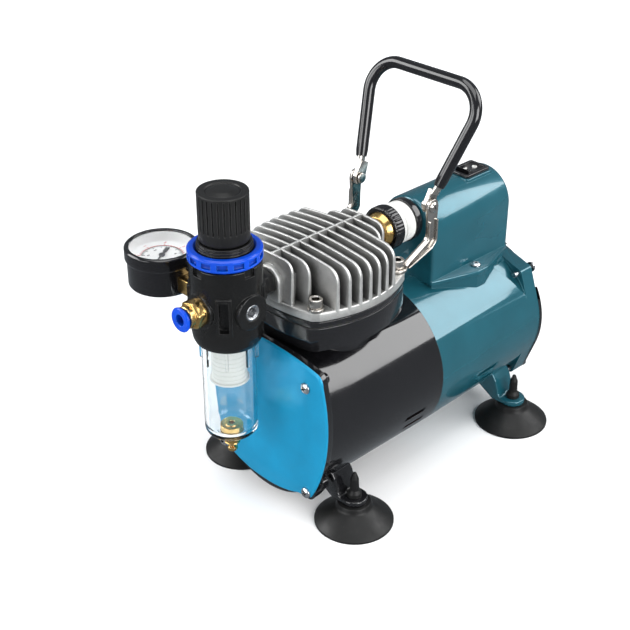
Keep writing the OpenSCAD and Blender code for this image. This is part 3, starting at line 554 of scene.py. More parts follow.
def make_light(name, at, size, power):
    data = bpy.data.lights.new(name, "AREA")
    data.size = size
    data.energy = power
    obj = bpy.data.objects.new(name, data)
    obj.location = at
    obj.rotation_mode = "QUATERNION"
    obj.rotation_quaternion = (Vector(LIT_POINT) - Vector(at)).to_track_quat("-Z", "Y")
    bpy.context.scene.collection.objects.link(obj)


def make_world():
    world = bpy.data.worlds.new("studio")
    bpy.context.scene.world = world
    world.use_nodes = True
    tree = world.node_tree
    tree.nodes.clear()
    out = tree.nodes.new("ShaderNodeOutputWorld")
    seen, felt, mix = (tree.nodes.new(k) for k in
                       ("ShaderNodeBackground", "ShaderNodeBackground", "ShaderNodeMixShader"))
    path = tree.nodes.new("ShaderNodeLightPath")
    seen.inputs["Color"].default_value = (1, 1, 1, 1)
    felt.inputs["Color"].default_value = (0.86, 0.93, 1.0, 1)
    felt.inputs["Strength"].default_value = 0.25
    tree.links.new(path.outputs["Is Camera Ray"], mix.inputs[0])
    tree.links.new(felt.outputs[0], mix.inputs[1])
    tree.links.new(seen.outputs[0], mix.inputs[2])
    tree.links.new(mix.outputs[0], out.inputs[0])


def make_floor():
    bm = bmesh.new()
    bmesh.ops.create_grid(bm, x_segments=1, y_segments=1, size=3.0)
    mesh = bpy.data.meshes.new("floor")
    bm.to_mesh(mesh)
    bm.free()
    n = Nodes("studio_floor")
    n.set(Base_Color=n.blend(n.noise(3), (0.93, 0.93, 0.93), (0.96, 0.96, 0.96)), Roughness=0.9)
    # Painted light: the floor glows more and more away from the object, standing in for a lit backdrop, while near
    # the object it keeps its real shadows
    reach = n.add("ShaderNodeVectorMath")
    reach.operation = "LENGTH"
    n.feed(reach.inputs[0], n.add("ShaderNodeTexCoord").outputs["Object"])
    painted_backdrop_glow = n.ramp(reach.outputs["Value"], 0.45, 1.0, 0.0, 0.75)
    n.set(Emission_Color=(1, 1, 1, 1), Emission_Strength=painted_backdrop_glow)
    mesh.materials.append(n.material)
    floor = bpy.data.objects.new("floor", mesh)
    floor.visible_glossy = False
    bpy.context.scene.collection.objects.link(floor)


bpy.context.scene.view_settings.view_transform = "Standard"
make_camera()
make_world()
make_floor()
make_light("top_softbox", (0.0, -0.1, 1.5), 1.2, 14)
make_light("left_softbox", (-1.1, -0.9, 0.9), 0.9, 16)
make_light("front_softbox", (-0.2, -1.7, 0.6), 1.0, 16)
make_light("right_softbox", (1.4, -0.1, 0.6), 0.9, 18)
make_light("rear_right_softbox", (0.58, 0.8, 0.8), 0.75, 9)


# ---------------------------------------------------------------- casing

AXIS = joint_mm("motor_spin")
case_low, case_high = box_mm("crankcase")
cover_low, cover_high = box_mm("front_cover")
shell_high = box_mm("motor_shell")[1]
rear_high = box_mm("rear_cover")[1]
FRONT_SCREW = 34.4
REAR_SCREW_X = 33.0
REAR_SCREW_Z = 34.0
REAR_PLATE_T = 2.3
CASE_R = 47.4
REAR_R = 45.4
JOINT_Y = case_high.y
CASE_BORE = 44
SHELL_BORE = 42
LUG_Z = 13.6
LUG_T = 3.4
FOOT_X = 47.4
FRONT_FOOT_Y = -46.7
REAR_FOOT_Y = 95.5


def about_motor(points):
    return [(x, z + AXIS.z) for x, z in points]


def cover_outline():
    half = (bulge((0, -44), (31.5, -36.8), 2, 8) + arc(34.2, -33.6, 4.2, -95, -20)
            + bulge((38.2, -35.2), (46.1, 39.4), 7.3, 24) + arc(40, 40, 6.2, -5, 78)
            + bulge((41.3, 46.1), (0, 50), 1.2, 10))
    return about_motor(half + [(0, 50)] + mirrored(half) + [(0, -44)])


def vents(y, radius, side):
    """Three slots with slanted ends in the lower side of the casing."""
    out = []
    for i in range(3):
        slot = slab_x([(-9.5, -1.6), (7.5, -1.6), (9.5, 1.6), (-7.5, 1.6)], radius - 8, radius + 8)
        slot.transform(Matrix.Translation((0, y + 2 * i, AXIS.z))
                       @ Matrix.Rotation(math.radians(17 + 10.5 * i), 4, "Y"))
        out.append(slot if side > 0 else flipped(slot))
    return out


def lug(y, side):
    """Foot arm: a sloping web with side cheeks that ends in a round pad."""
    web = rounded([(22, 22), (37, LUG_Z, 1.5), (FOOT_X, LUG_Z), (FOOT_X, LUG_Z + LUG_T),
                   (42, LUG_Z + LUG_T, 3), (38.8, 27, 3), (34, 34)])
    arm = slab_y([(side * x, z) for x, z in web], y - 7.5, y + 7.5, 0.8, 0.8)
    pad = moved(disc(7.5, 0, LUG_T, 0.7), (side * FOOT_X, y, LUG_Z))
    hole = moved(disc(3.0, -2, 9, 0), (side * FOOT_X, y, LUG_Z))
    return cut(merged(arm, pad), hole)


def crankcase():
    y0, y1 = case_low.y, JOINT_Y
    body = merged(rod_y(0, AXIS.z, CASE_R, y0, y1), slab_y(cover_outline(), y0, y0 + 4, 0, 1.0))
    ears = []
    for sx, sz in CORNERS:
        ear = lathe([(0, 0), (5, 0), (4.6, 6), (3, 13.2), (1.8, 14), (0, 14)], 32)
        ears.append(moved(ear, (sx * FRONT_SCREW, y0, AXIS.z + sz * FRONT_SCREW), BACK))
    body = merged(body, *ears, lug(FRONT_FOOT_Y, 1), lug(FRONT_FOOT_Y, -1))
    bore = rod_y(0, AXIS.z, CASE_BORE, y0 - 1, -8)
    rear = rod_y(0, AXIS.z, CASE_BORE, 3.5, y1 + 1)
    hole = moved(disc(28.9, 0, 60, 0), (0, -26, AXIS.z + 20))
    body = cut(body, bore, rear, hole, *vents(5, CASE_R, 1), *vents(5, CASE_R, -1))
    return softened(body, 0.5)


piece("crankcase_casting", crankcase(), "crankcase")
piece("front_cover_plate", slab_y(cover_outline(), cover_low.y, cover_high.y, 1.1, 0.2), "front_cover")


def cross_head(radius, height, shaft_r, shaft):
    """Pan head screw with a cross recess, head up from z = 0."""
    screw = lathe([(0, -shaft), (shaft_r, -shaft), (shaft_r, 0), (radius, 0), (radius, height * 0.5, 0.5),
                   (radius * 0.62, height, radius * 0.5), (0, height)], 40)
    arm = radius * 0.55
    arms = [moved(block(-arm, arm, -0.42, 0.42, height - 1.2, height + 1), spin=spin) for spin in (25, 115)]
    return cut(screw, *arms)


def cover_screws():
    made = []
    for sx, sz in CORNERS:
        front = (sx * FRONT_SCREW, cover_low.y, AXIS.z + sz * FRONT_SCREW)
        rear = (sx * REAR_SCREW_X, shell_high.y + REAR_PLATE_T, AXIS.z + sz * REAR_SCREW_Z)
        made.append(moved(cross_head(3.2, 1.9, 1.6, 8), front, FORWARD))
        made.append(moved(cross_head(3.2, 2.3, 1.6, 16), rear, BACK))
    return joined(*made)


piece("casing_screws", cover_screws(), "cover_screws")

box_low, box_high = box_mm("switch_box")
BOX_HALF = 20.0
HOOD_Z = 135
HOOD_SCREW_X = 24.5
LEDGE_X = 30.5
LEDGE_Y = 78.4


def box_plan():
    y0, y1 = box_low.y, box_high.y
    half = [(BOX_HALF, y0, 1.5), (LEDGE_X, LEDGE_Y - 4, 4), (LEDGE_X, LEDGE_Y + 4, 4), (BOX_HALF, y1, 1.5)]
    return rounded([(-p[0], *p[1:]) for p in half][::-1] + half, 5)


EAR_R = 3.0
EAR_Y = 109.5


def in_corners(make, rows=SIDES):
    """Copies of a piece drawn about the motor axis in the upper right quarter."""
    out = []
    for sx in SIDES:
        for sz in rows:
            bm = make()
            bm.transform(Matrix.Diagonal((sx, 1, sz, 1)))
            if sx * sz < 0:
                bmesh.ops.reverse_faces(bm, faces=bm.faces)
            bm.transform(Matrix.Translation((0, 0, AXIS.z)))
            out.append(bm)
    return out


def rear_ears(radius, y0, y1, edge0, edge1):
    """Corners of the rear end: flats from the round casing to a rounded point at each screw."""
    lean = math.degrees(math.atan2(REAR_SCREW_Z, REAR_SCREW_X))
    spread = math.degrees(math.acos((radius - EAR_R) / math.hypot(REAR_SCREW_X, REAR_SCREW_Z)))
    tip = arc(REAR_SCREW_X, REAR_SCREW_Z, EAR_R, lean - spread, lean + spread, 6)
    root = arc(0, 0, radius - 1.5, lean + spread + 4, lean - spread - 4, 6)
    side = [arc(0, 0, radius, lean + s * spread, lean + s * spread, 1)[0] for s in SIDES]
    outline = [side[0]] + tip + [side[1]] + root
    return in_corners(lambda: slab_y(outline, y0, y1, edge0, edge1))


def ear_pocket():
    """Shallow three-sided recess in front of an upper ear."""
    wedge = prism([(EAR_Y - 13, -11), (EAR_Y - 0.2, -11), (EAR_Y - 0.2, 15)], 43.6, 52)
    wedge.transform(Matrix(((0, 0, 1, 0), (1, 0, 0, 0), (0, -1, 0, 0), (0, 0, 0, 1))))
    wedge.transform(Matrix.Rotation(math.radians(-46), 4, "Y"))
    bmesh.ops.recalc_face_normals(wedge, faces=wedge.faces)
    return wedge


def motor_shell():
    y0, y1 = JOINT_Y, shell_high.y
    cone = moved(lathe([(0, 0), (CASE_R, 0), (REAR_R, y1 - y0), (0, y1 - y0)], 128), (0, y0, AXIS.z), BACK)
    pad = prism(inset(box_plan(), 1.4), AXIS.z + 20, box_low.z)
    body = merged(cone, pad, lug(REAR_FOOT_Y, 1), lug(REAR_FOOT_Y, -1),
                  *rear_ears(REAR_R, EAR_Y, y1, 0, 0))
    body = cut(body, rod_y(0, AXIS.z, SHELL_BORE, y0 - 1, y1 + 1), *in_corners(ear_pocket, (1,)),
               *vents(70, REAR_R + 1, 1), *vents(70, REAR_R + 1, -1))
    return softened(body, 0.5)


def rear_cover():
    y0, y1 = shell_high.y, rear_high.y
    plate_y = y0 + REAR_PLATE_T
    disc_part = rod_y(0, AXIS.z, REAR_R + 0.3, y0, plate_y)
    reach = y1 - plate_y + 0.45
    boss = moved(lathe([(0, 0), (15.4, 0), (13, reach, 1.5), (0, reach)], 96),
                 (0, plate_y - 0.5, AXIS.z), BACK)
    seat = rod_y(0, AXIS.z, 17, 107.5, y0 + 1)
    body = merged(disc_part, boss, seat, *rear_ears(REAR_R + 0.3, y0, plate_y, 0, 0))
    slots = []
    for k in range(12):
        slot = prism(rounded([(20.5, -2, 1.9), (36, -2, 1.9), (36, 2, 1.9), (20.5, 2, 1.9)], 5), -2, 8)
        slots.append(moved(slot, (0, y0, AXIS.z), BACK, 30 * k))
    bearing = rod_y(0, AXIS.z, 13, 106, 116.5)
    return softened(cut(body, bearing, *slots), 0.4)


piece("motor_shell_casting", motor_shell(), "motor_shell")
piece("rear_cover_grille", rear_cover(), "rear_cover")


def switch_box():
    outline = [(BOX_HALF, box_low.z), *arc(0, HOOD_Z, BOX_HALF, 0, 180, 40), (-BOX_HALF, box_low.z)]
    hollow = [(x * 0.92, z - 1.6 if z > HOOD_Z - 25 else z + 3) for x, z in outline]
    hood = slab_y(outline, box_low.y, box_high.y, 2.0, 2.0)
    boss = block(-8.5, 8.5, 85.5, 108.5, 151, box_high.z, 0.5, 2.0)
    flange = prism(box_plan(), box_low.z, box_low.z + 3, 0.3, 0.9)
    body = merged(hood, boss, flange)
    inside = slab_y(hollow, box_low.y + 1.6, box_high.y - 1.6)
    well = block(-6.4, 6.4, 87.6, 106.4, 140, 170)
    return softened(cut(body, inside, well), 0.6, 3)


def hood_screw(side):
    return moved(cross_head(2.9, 1.9, 1.45, 7), (side * HOOD_SCREW_X, LEDGE_Y, box_low.z + 3))


piece("switch_box_hood", switch_box(), "switch_box")
piece("hood_screws", both(hood_screw), "switch_box_screws")

# ---------------------------------------------------------------- feet


def foot(node):
    low, high = box_mm(node)
    r = (high.x - low.x) / 2
    top = LUG_Z + LUG_T
    profile = [(0, 6.5), (8, 6), (14, 3.6), (r - 1.8, 0.02), (r - 0.1, 0.02), (r, 1.3, 0.6),
               (18.6, 4.6, 5), (13.2, 8.6, 8), (10.4, 10.6, 3), (9.8, 12.4, 0.8), (9.4, LUG_Z - 0.05, 0.3),
               (2.9, LUG_Z - 0.05), (2.9, top), (4.3, top, 0.3), (4.1, top + 2.4, 0.6),
               (2.6, top + 4.2, 0.8), (2.4, 28.6, 1.0), (0.9, high.z, 0.5), (0, high.z)]
    return moved(lathe(profile, 96), ((low.x + high.x) / 2, (low.y + high.y) / 2, 0))


for end in ("front", "rear"):
    for side in ("left", "right"):
        node = f"foot_{end}_{side}"
        piece(f"suction_{node}", foot(node), node)

# ---------------------------------------------------------------- cylinder and head

head_low, head_high = box_mm("cylinder_head")
plate_low, plate_high = box_mm("valve_plate")
cyl_low, cyl_high = box_mm("cylinder")
HEAD_Y = -26.0
SEAT_Z = head_low.z + 5
HEAD_SCREW_X = 27.2
HEAD_SCREW_DY = 31.2
FLANGE_X = 31.5
FLANGE_Y = 35.5
FLANGE_CUT = 3.0
FLANGE_SIDE = 8.3
FIN_Y0 = HEAD_Y - 36.4
FRONT_PORT_Y = FIN_Y0 - 4
ARCH_R = 8.8
FIN_PITCH = 6.73
FIN_BASE_T = 2.7
FIN_COUNT = 11
FRONT_FINS = (15.7, 21.5)
REAR_FINS = (21.0, 16.5)


def flange_outline(cx, side, end):
    """Plan of the flange: bulged sides and cut corners."""
    x, y = cx - FLANGE_CUT, FLANGE_Y - FLANGE_CUT
    outline = []
    for p, q, height, steps in (
        ((cx, -y), (cx, y), side, 24),
        ((x, FLANGE_Y), (-x, FLANGE_Y), end, 16),
        ((-cx, y), (-cx, -y), side, 24),
        ((-x, -FLANGE_Y), (x, -FLANGE_Y), end, 16),
    ):
        outline += [(*p, 1), *bulge(p, q, height, steps), (*q, 1)]
    return [(a, b + HEAD_Y) for a, b in rounded(outline, 3)]


def at_head_screws(make):
    return [moved(make(), (sx * HEAD_SCREW_X, HEAD_Y + sy * HEAD_SCREW_DY, 0)) for sx, sy in CORNERS]


def fin_half(i):
    if i < 2:
        return FRONT_FINS[i]
    if i > FIN_COUNT - 3:
        return REAR_FINS[i - FIN_COUNT + 2]
    reach = FLANGE_Y - FLANGE_CUT
    t = (FIN_Y0 + i * FIN_PITCH - HEAD_Y + reach) / (2 * reach)
    return FLANGE_X + FLANGE_SIDE * 4 * t * (1 - t) - 0.05


def fin_top(x):
    return head_high.z - 0.5 - 2.4 * (x / 32) ** 2


def fin(i):
    """Cast fin: arched top, rounded shoulders, thicker towards its foot."""
    half = fin_half(i)
    r = min(8.0, half * 0.4)
    x0 = half - r
    side = [(half, SEAT_Z - 1)] + arc(x0, fin_top(x0) - r, r, 0, 84, 8)
    side += [(x0 * k / 8, fin_top(x0 * k / 8)) for k in range(7, -1, -1)]
    y = FIN_Y0 + i * FIN_PITCH
    t = FIN_BASE_T / 2
    bm = slab_y(side + mirrored(side[:-1]), y - t, y + t, 0.6, 0.6)
    for v in bm.verts:
        up = (v.co.z - SEAT_Z) / (head_high.z - SEAT_Z)
        v.co.y = y + (v.co.y - y) * (1.03 - 0.5 * up)
    return bm


def cylinder_head():
    last = FIN_Y0 + (FIN_COUNT - 1) * FIN_PITCH
    flange = prism(flange_outline(FLANGE_X, FLANGE_SIDE, 4), head_low.z, SEAT_Z, 0.3, 0.7)
    core = slab_y([(-24, SEAT_Z - 1), (24, SEAT_Z - 1), (24, 142), (18, 149), (6, 151.5), (-6, 151.5),
                   (-18, 149), (-24, 142)], HEAD_Y - 23, HEAD_Y + 20)
    spine = slab_y([(-12, SEAT_Z - 1), (12, SEAT_Z - 1), (12, 148), (-12, 148)], FIN_Y0, last)
    rib = slab_y([(-0.8, 140), (0.8, 140), (0.55, head_high.z), (-0.55, head_high.z)], FIN_Y0, last)
    arch = slab_y([(-ARCH_R, SEAT_Z - 0.5), (ARCH_R, SEAT_Z - 0.5), *arc(0, 142.5, ARCH_R, 0, 180, 32)],
                  FRONT_PORT_Y, FIN_Y0)
    rear_port = rod_y(0, 142.4, 8, HEAD_Y, head_high.y, 0.5, 64)
    fins = [fin(i) for i in range(FIN_COUNT)]
    body = merged(flange, core, spine, rib, softened(arch, 1.1, 4), rear_port, *fins)
    pockets = at_head_screws(lambda: disc(5.7, SEAT_Z, SEAT_Z + 40, 0, 40))
    holes = at_head_screws(lambda: disc(2.4, SEAT_Z - 9, SEAT_Z + 1, 0, 24))
    return cut(body, *pockets, *holes)


def cylinder():
    flange = prism(flange_outline(FLANGE_X - 0.5, FLANGE_SIDE, 3.5), 109, cyl_high.z, 0.6, 0.25)
    boss = moved(disc(29, cyl_low.z, 110, 0.5, 96), (0, HEAD_Y, 0))
    bore = moved(disc(19, cyl_low.z - 1, cyl_high.z + 1, 0), (0, HEAD_Y, 0))
    return cut(merged(flange, boss), bore, *at_head_screws(lambda: disc(2.4, 112.9, 130, 0, 24)))


def valve_plate():
    plate = prism(flange_outline(FLANGE_X - 0.5, FLANGE_SIDE, 3.5), plate_low.z, plate_high.z, 0.3, 0.3)
    z0, z1 = plate_low.z - 1, plate_high.z + 1
    ports = [moved(disc(3, z0, z1, 0, 32), (side * 9, HEAD_Y, 0)) for side in SIDES]
    return cut(plate, *ports, *at_head_screws(lambda: disc(2.4, z0, z1, 0, 24)))


def hex_outline(across, edge=0.0):
    r = across / math.sqrt(3)
    corners = arc(0, 0, r, 0, 300, 5)
    return rounded([(x, y, edge) for x, y in corners], 3) if edge else corners


def cap_screw(z, washer):
    """Socket cap screw with a knurled head on a washer."""
    profile = [*rim(3.6, z, z + 5.2, 0.45), (2.5, z + 5.2), (2.3, z + 5.0), (2.3, z + 4.9),
               (0, z + 4.9), (0, z)]
    head = lathe(profile, 96, True, lambda a, r, h: (r + 0.07 * math.cos(32 * a) * (r > 3.5), h))
    head = cut(head, prism(hex_outline(3.9), z + 2.4, z + 6))
    parts = [head, disc(2.35, z - 17, z, 0, 32)]
    if washer:
        parts.append(tube(4.5, 2.4, z - 1.8, z, 0.3, 48))
    return joined(*parts)


def head_screws():
    z = SEAT_Z + 1.8
    return joined(*[
        moved(cap_screw(z, sy < 0), (sx * HEAD_SCREW_X, HEAD_Y + sy * HEAD_SCREW_DY, 0), spin=17 * sx)
        for sx, sy in CORNERS
    ])


piece("cylinder_head_casting", cylinder_head(), "cylinder_head")
piece("cylinder_barrel", cylinder(), "cylinder")
piece("valve_plate_black", valve_plate(), "valve_plate")
piece("head_cap_screws", head_screws(), "head_screws")

# ---------------------------------------------------------------- handle

PIVOT = joint_mm("handle_fold")
PIVOT_X = 26.6
HANDLE_H = 68.0
CORNER_R = 16.0
LEG = math.radians(13)
LEAN = math.radians(-23)
BRACKET_X = 28.3
BRACKET_T = 1.8


def handle_path(start):
    """Centre line of the bar in X and height over the pivots, from one leg over the top to the other."""
    cx = PIVOT_X + (HANDLE_H - CORNER_R) * math.tan(LEG) - CORNER_R / math.cos(LEG)
    bend = arc(cx, HANDLE_H - CORNER_R, CORNER_R, -math.degrees(LEG), 90, 18)
    foot_at = (PIVOT_X + start * math.sin(LEG), start * math.cos(LEG))
    (x0, z0), (x1, z1) = foot_at, bend[0]
    half = [(x0 + (x1 - x0) * t / 10, z0 + (z1 - z0) * t / 10) for t in range(10)] + bend
    return [(x, 0, z) for x, z in half] + [(-x, 0, z) for x, z in reversed(half)]


def in_handle(bm):
    bm.transform(Matrix.Translation((0, PIVOT.y, PIVOT.z)) @ Matrix.Rotation(LEAN, 4, "X"))
    return bm


def handle_bail():
    path = handle_path(7)

    def flat(i):
        end = min(i, len(path) - 1 - i)
        return (1.3, 3.1) if end == 0 else (1.9, 2.8) if end == 1 else (2.5, 2.5)

    bar = sweep(path, BACK, flat)
    eye = rounded([(-3.1, 9.5, 0.5), (-4.2, 0, 2), (-2.6, -4.2, 3), (2.6, -4.2, 3), (4.2, 0, 2),
                   (3.1, 9.5, 0.5)], 5)
    eyes = [slab_x(eye, side * PIVOT_X - 1.3, side * PIVOT_X + 1.3, 0.35, 0.35) for side in SIDES]
    body = merged(bar, *eyes)
    holes = [moved(disc(2.06, -5, 5, 0, 32), (side * PIVOT_X, 0, 0), RIGHT) for side in SIDES]
    return in_handle(cut(body, *holes))


def handle_grip():
    path = handle_path(12)
    last = len(path) - 1

    def sleeve(i):
        return (3.1, 3.1) if i in (0, last) else (3.47, 3.47)

    outer = sweep(path, BACK, sleeve)
    inner = sweep(handle_path(11), BACK, lambda i: (2.56, 2.56))
    return in_handle(cut(outer, inner))


def bracket(side):
    """Stamped channel: foot eye under a head screw, sloping arm with lips, upright leg with the pivot."""
    foot_y = HEAD_Y + HEAD_SCREW_DY
    foot_at = (HEAD_SCREW_X, foot_y, 0)
    z0 = SEAT_Z
    z1 = z0 + BRACKET_T
    x0 = BRACKET_X
    x1 = x0 + BRACKET_T
    y = PIVOT.y
    arm = rounded([(foot_y - 4, z0), (foot_y + 5.5, z0, 3), (y - 1, 138, 5), (y + 3.6, 143, 4),
                   (y + 3.6, PIVOT.z - 5, 2), (y - 3.6, PIVOT.z - 5, 2), (y - 3.6, 145.5, 4),
                   (foot_y + 6, 138, 5), (foot_y + 2, z0 + 4, 2), (foot_y - 4, z1)], 5)
    web = slab_x(arm, x0, x1, 0.3, 0.3)

    def lip(line):
        path = [(x0 + 1.7, y, z) for y, z in rounded(line, 5)]
        return sweep(path, RIGHT, lambda i: (0.62, 1.5), 16)

    lips = [
        lip([(foot_y + 3.4, z0 + 2.6), (foot_y + 6.2, z0 + 4.4, 3), (y - 3, 144.6, 4),
             (y - 3, PIVOT.z - 8)]),
        lip([(foot_y + 5.6, z0 + 0.7), (y - 1.2, 138.7, 5), (y + 3, 143, 4), (y + 3, PIVOT.z - 8)]),
    ]
    upright = rounded([(y - 3.6, PIVOT.z - 12, 1), (y + 3.6, PIVOT.z - 12, 1), (y + 4.4, PIVOT.z, 3),
                       (y + 3, PIVOT.z + 4.4, 3), (y - 3, PIVOT.z + 4.4, 3), (y - 4.4, PIVOT.z, 3)], 5)
    leg = slab_x(upright, x0, x1, 0.3, 0.3)
    eye = moved(disc(5.4, z0, z1, 0.35, 64), foot_at)
    body = merged(web, leg, eye, *lips)
    seat = moved(disc(3.9, z1, z0 + 12, 0, 48), foot_at)
    bolt = moved(disc(2.4, z0 - 2, z0 + 4, 0, 32), foot_at)
    pin = moved(disc(2.0, -3, 8, 0, 32), (x0, y, PIVOT.z), RIGHT)
    body = cut(body, seat, bolt, pin)
    return body if side > 0 else flipped(body)


def rivet():
    """Pivot pin with a slotted dome outside and a flat head inside."""
    x = BRACKET_X + BRACKET_T
    start = PIVOT_X - 1.7 - 1.2
    profile = [(0, start), (3, start, 0.3), (3, start + 1.2, 0.2), (2, start + 1.2), (2, x),
               (3.2, x, 0.1), (3.1, x + 0.6, 0.4), (1.8, x + 1.4, 0.8), (0, x + 1.4)]
    pin = cut(lathe(profile, 48), block(-4, 4, -0.4, 0.4, x + 0.8, x + 3))
    return moved(pin, (0, PIVOT.y, PIVOT.z), RIGHT, 35)


piece("handle_wire", handle_bail(), "handle_bail")
piece("handle_sleeve", handle_grip(), "handle_grip")
piece("bracket_left", bracket(-1), "handle_bracket_left")
piece("bracket_right", bracket(1), "handle_bracket_right")
piece("pivot_rivets", joined(rivet(), flipped(rivet())), "handle_rivets")

# ---------------------------------------------------------------- switch, gland and pressure switch

PRESSURE_Z = 142.4
GLAND_Z = 122
adapter_low = box_mm("pressure_switch_adapter")[0]
body_low, body_high = box_mm("pressure_switch_body")
bezel_low, bezel_high = box_mm("switch_bezel")
gland_low, gland_high = box_mm("cable_gland")
ROCKER = joint_mm("rocker_turn")


def along_y(profile, x, z, segments=96, closed=False, warp=None):
    """Turned part on an axis along Y: the profile is (radius, y) or (radius, y, rounding)."""
    return moved(lathe(profile, segments, closed, warp), (x, 0, z), BACK)


def pressure_adapter():
    y0 = adapter_low.y
    cone = along_y([(1.5, y0), (4.5, y0, 0.4), (4.5, 12.2), (6.5, 12.2), (6.5, 16.2), (8.4, 17, 0.8),
                    (10.3, 20.2, 0.8), (10.5, 27.2), (1.5, 27.2)], 0, PRESSURE_Z, closed=True)
    nut = moved(prism(hex_outline(13, 0.6), 0, 4, 0.5, 0.5), (0, 12.2, PRESSURE_Z), BACK, 15)
    return merged(cone, nut)


def knurl(count, depth, over):
    return lambda a, r, z: (r - depth * (0.5 + 0.5 * math.cos(count * a)) * (r > over), z)


def pressure_body():
    y0, y1 = body_low.y, body_high.y
    return along_y([(9, y0), (12, y0, 0.3), (12, y0 + 2.2), (11.6, y0 + 2.5), (11.6, y0 + 3),
                    (12, y0 + 3.3), (12, y1, 0.5), (9, y1)], 0, PRESSURE_Z, closed=True)


def pressure_caps():
    ring = along_y([(10.5, 20), (12.6, 20, 0.6), (13.2, 21.4), (13.2, 26), (12.8, 27.2, 0.4), (10.5, 27.2)],
                   0, PRESSURE_Z, 240, True, knurl(40, 0.5, 13.1))
    cap = along_y([(0, 37.5), (12.8, 37.5, 0.5), (12.8, 41.5, 1.2), (11.6, 43.4, 0.6), (8, 43.6),
                   (8, 49.6), (0, 49.6)], 0, PRESSURE_Z)
    return joined(ring, cap)


def bezel():
    z = bezel_high.z
    frame_part = block(bezel_low.x, bezel_high.x, bezel_low.y, bezel_high.y, z - 2, z, 0.6, 1.6)
    shank = block(-6.3, 6.3, 87.7, 106.3, bezel_low.z, z - 1, 0, 0.6)
    well = block(-5.3, 5.3, 88.6, 105.4, 148, z + 1, 0, 0.8)
    return softened(cut(merged(frame_part, shank), well), 0.25)


def on_rocker(bm):
    bm.transform(Matrix.Translation((0, ROCKER.y, ROCKER.z)) @ Matrix.Rotation(math.radians(-9), 4, "X"))
    return bm


def rocker():
    top = bulge((7.4, 4.6), (-7.4, 4.6), -1.3, 14)
    under = rounded([(-7.4, -1, 0.5), (-3, -4, 1), (3, -4, 1), (7.4, -1, 0.5)], 4)
    return on_rocker(slab_x([*under, (7.4, 4.6), *top, (-7.4, 4.6)], -5, 5, 0.4, 0.4))


def rocker_marks():
    """Raised I and O."""
    bar = block(-0.3, 0.3, -6, -3, 3.3, 4.35, 0.05)
    circle = moved(tube(1.5, 1.0, 3.3, 4.35, 0.05, 40), (0, 4.4, 0))
    return on_rocker(joined(bar, circle))


def gland():
    y0, y1 = gland_low.y, gland_high.y
    ribs = []
    for k in range(4):
        r, y = 6.0 - 0.3 * k, 116.2 + 1.6 * k
        ribs += [(r, y), (r, y + 0.9), (r - 0.8, y + 1.0), (r - 0.8, y + 1.5)]
    profile = [(3.2, y0), (5, y0, 0.3), (5, 113.5), (7.4, 113.5, 0.3), (7.4, 116, 0.4), *ribs,
               (4.4, y1), (3.2, y1)]
    return along_y(profile, 0, GLAND_Z, 64, True)


piece("pressure_adapter_brass", pressure_adapter(), "pressure_switch_adapter")
piece("pressure_ring_white", pressure_body(), "pressure_switch_body")
piece("pressure_rings_black", pressure_caps(), "pressure_switch_caps")
piece("rocker_frame", bezel(), "switch_bezel")
piece("rocker_paddle", rocker(), "rocker")
piece("rocker_marks", rocker_marks(), body="switch_rocker", slot="white_plastic")
piece("cord_gland", gland(), "cable_gland")

# ---------------------------------------------------------------- filter regulator

REG = joint_mm("knob_turn")
REG_R = 18.8
PORT_Z = 142.5
PORT_R = 9.5
KNOB_R = 13.1
reg_low, reg_high = box_mm("regulator_body")
bonnet_low, bonnet_high = box_mm("regulator_bonnet")
ring_low, ring_high = box_mm("lock_ring")
knob_low, knob_high = box_mm("pressure_knob")
bowl_low, bowl_high = box_mm("filter_bowl")
plug_low, plug_high = box_mm("port_plug")
fitting_low, fitting_high = box_mm("push_fitting")
collet_low, collet_high = box_mm("push_collet")
valve_low, valve_high = box_mm("drain_valve")
pin_low, pin_high = box_mm("drain_pin")
RING_Z = 166.3


def at_reg(bm):
    return moved(bm, (0, REG.y, 0))


def at_port(bm, way, spin=0):
    """Puts a piece on the level of the ports, its Z from the middle of the regulator out that way."""
    return moved(bm, (0, REG.y, PORT_Z), way, spin)


def regulator_body():
    top = RING_Z
    shell = at_reg(lathe([(0, reg_low.z), (17, reg_low.z, 0.5), (18.2, reg_low.z + 2.6, 2), (REG_R, 126, 2),
                          (REG_R, top, 0.5), (13.5, top), (13.5, top - 16), (0, top - 16)], 128))
    x1 = reg_high.x
    boss = lathe([(0, 0), (PORT_R, 0), (PORT_R, x1 - 4.4, 0.2), (8.9, x1 - 4.1, 0.2), (8.9, x1 - 3.4, 0.2),
                  (PORT_R, x1 - 3.1, 0.2), (PORT_R, x1, 0.4), (4.6, x1, 0.3), (4.6, x1 - 0.5),
                  (0, x1 - 0.5)], 64)
    ports = [
        at_port(boss, RIGHT),
        at_port(disc(PORT_R, 0, -reg_low.x, 0.5, 64), LEFT),
        at_port(disc(PORT_R, 0, REG.y - reg_low.y, 0.3, 64), FORWARD),
        at_port(disc(PORT_R, 0, reg_high.y - REG.y, 0.5, 64), BACK),
    ]
    cuts = [
        at_reg(disc(14.75, reg_low.z - 1, reg_low.z + 7, 0, 96)),
        at_port(disc(4.5, 12, 30, 0, 40), FORWARD),
        at_port(disc(4.4, 8, 30, 0, 40), RIGHT),
        at_port(disc(4.5, 8, 30, 0, 40), BACK),
    ]
    for k in range(4):
        notch = block(REG_R - 1.6, REG_R + 3, -3.1, 3.1, top - 4.2, top + 1)
        cuts.append(at_reg(moved(notch, spin=90 * k)))
        frame_rib = block(REG_R - 3, REG_R + 0.9, -4, 4, 131.6, 152.4, 0.3, 0.6)
        pocket = block(REG_R - 3.4, REG_R + 3, -2.5, 2.5, 133.2, 150.8, 0.3, 0.6)
        ports.append(at_reg(moved(frame_rib, spin=45 + 90 * k)))
        cuts.append(at_reg(moved(pocket, spin=45 + 90 * k)))
    return softened(cut(merged(shell, *ports), *cuts), 0.22)


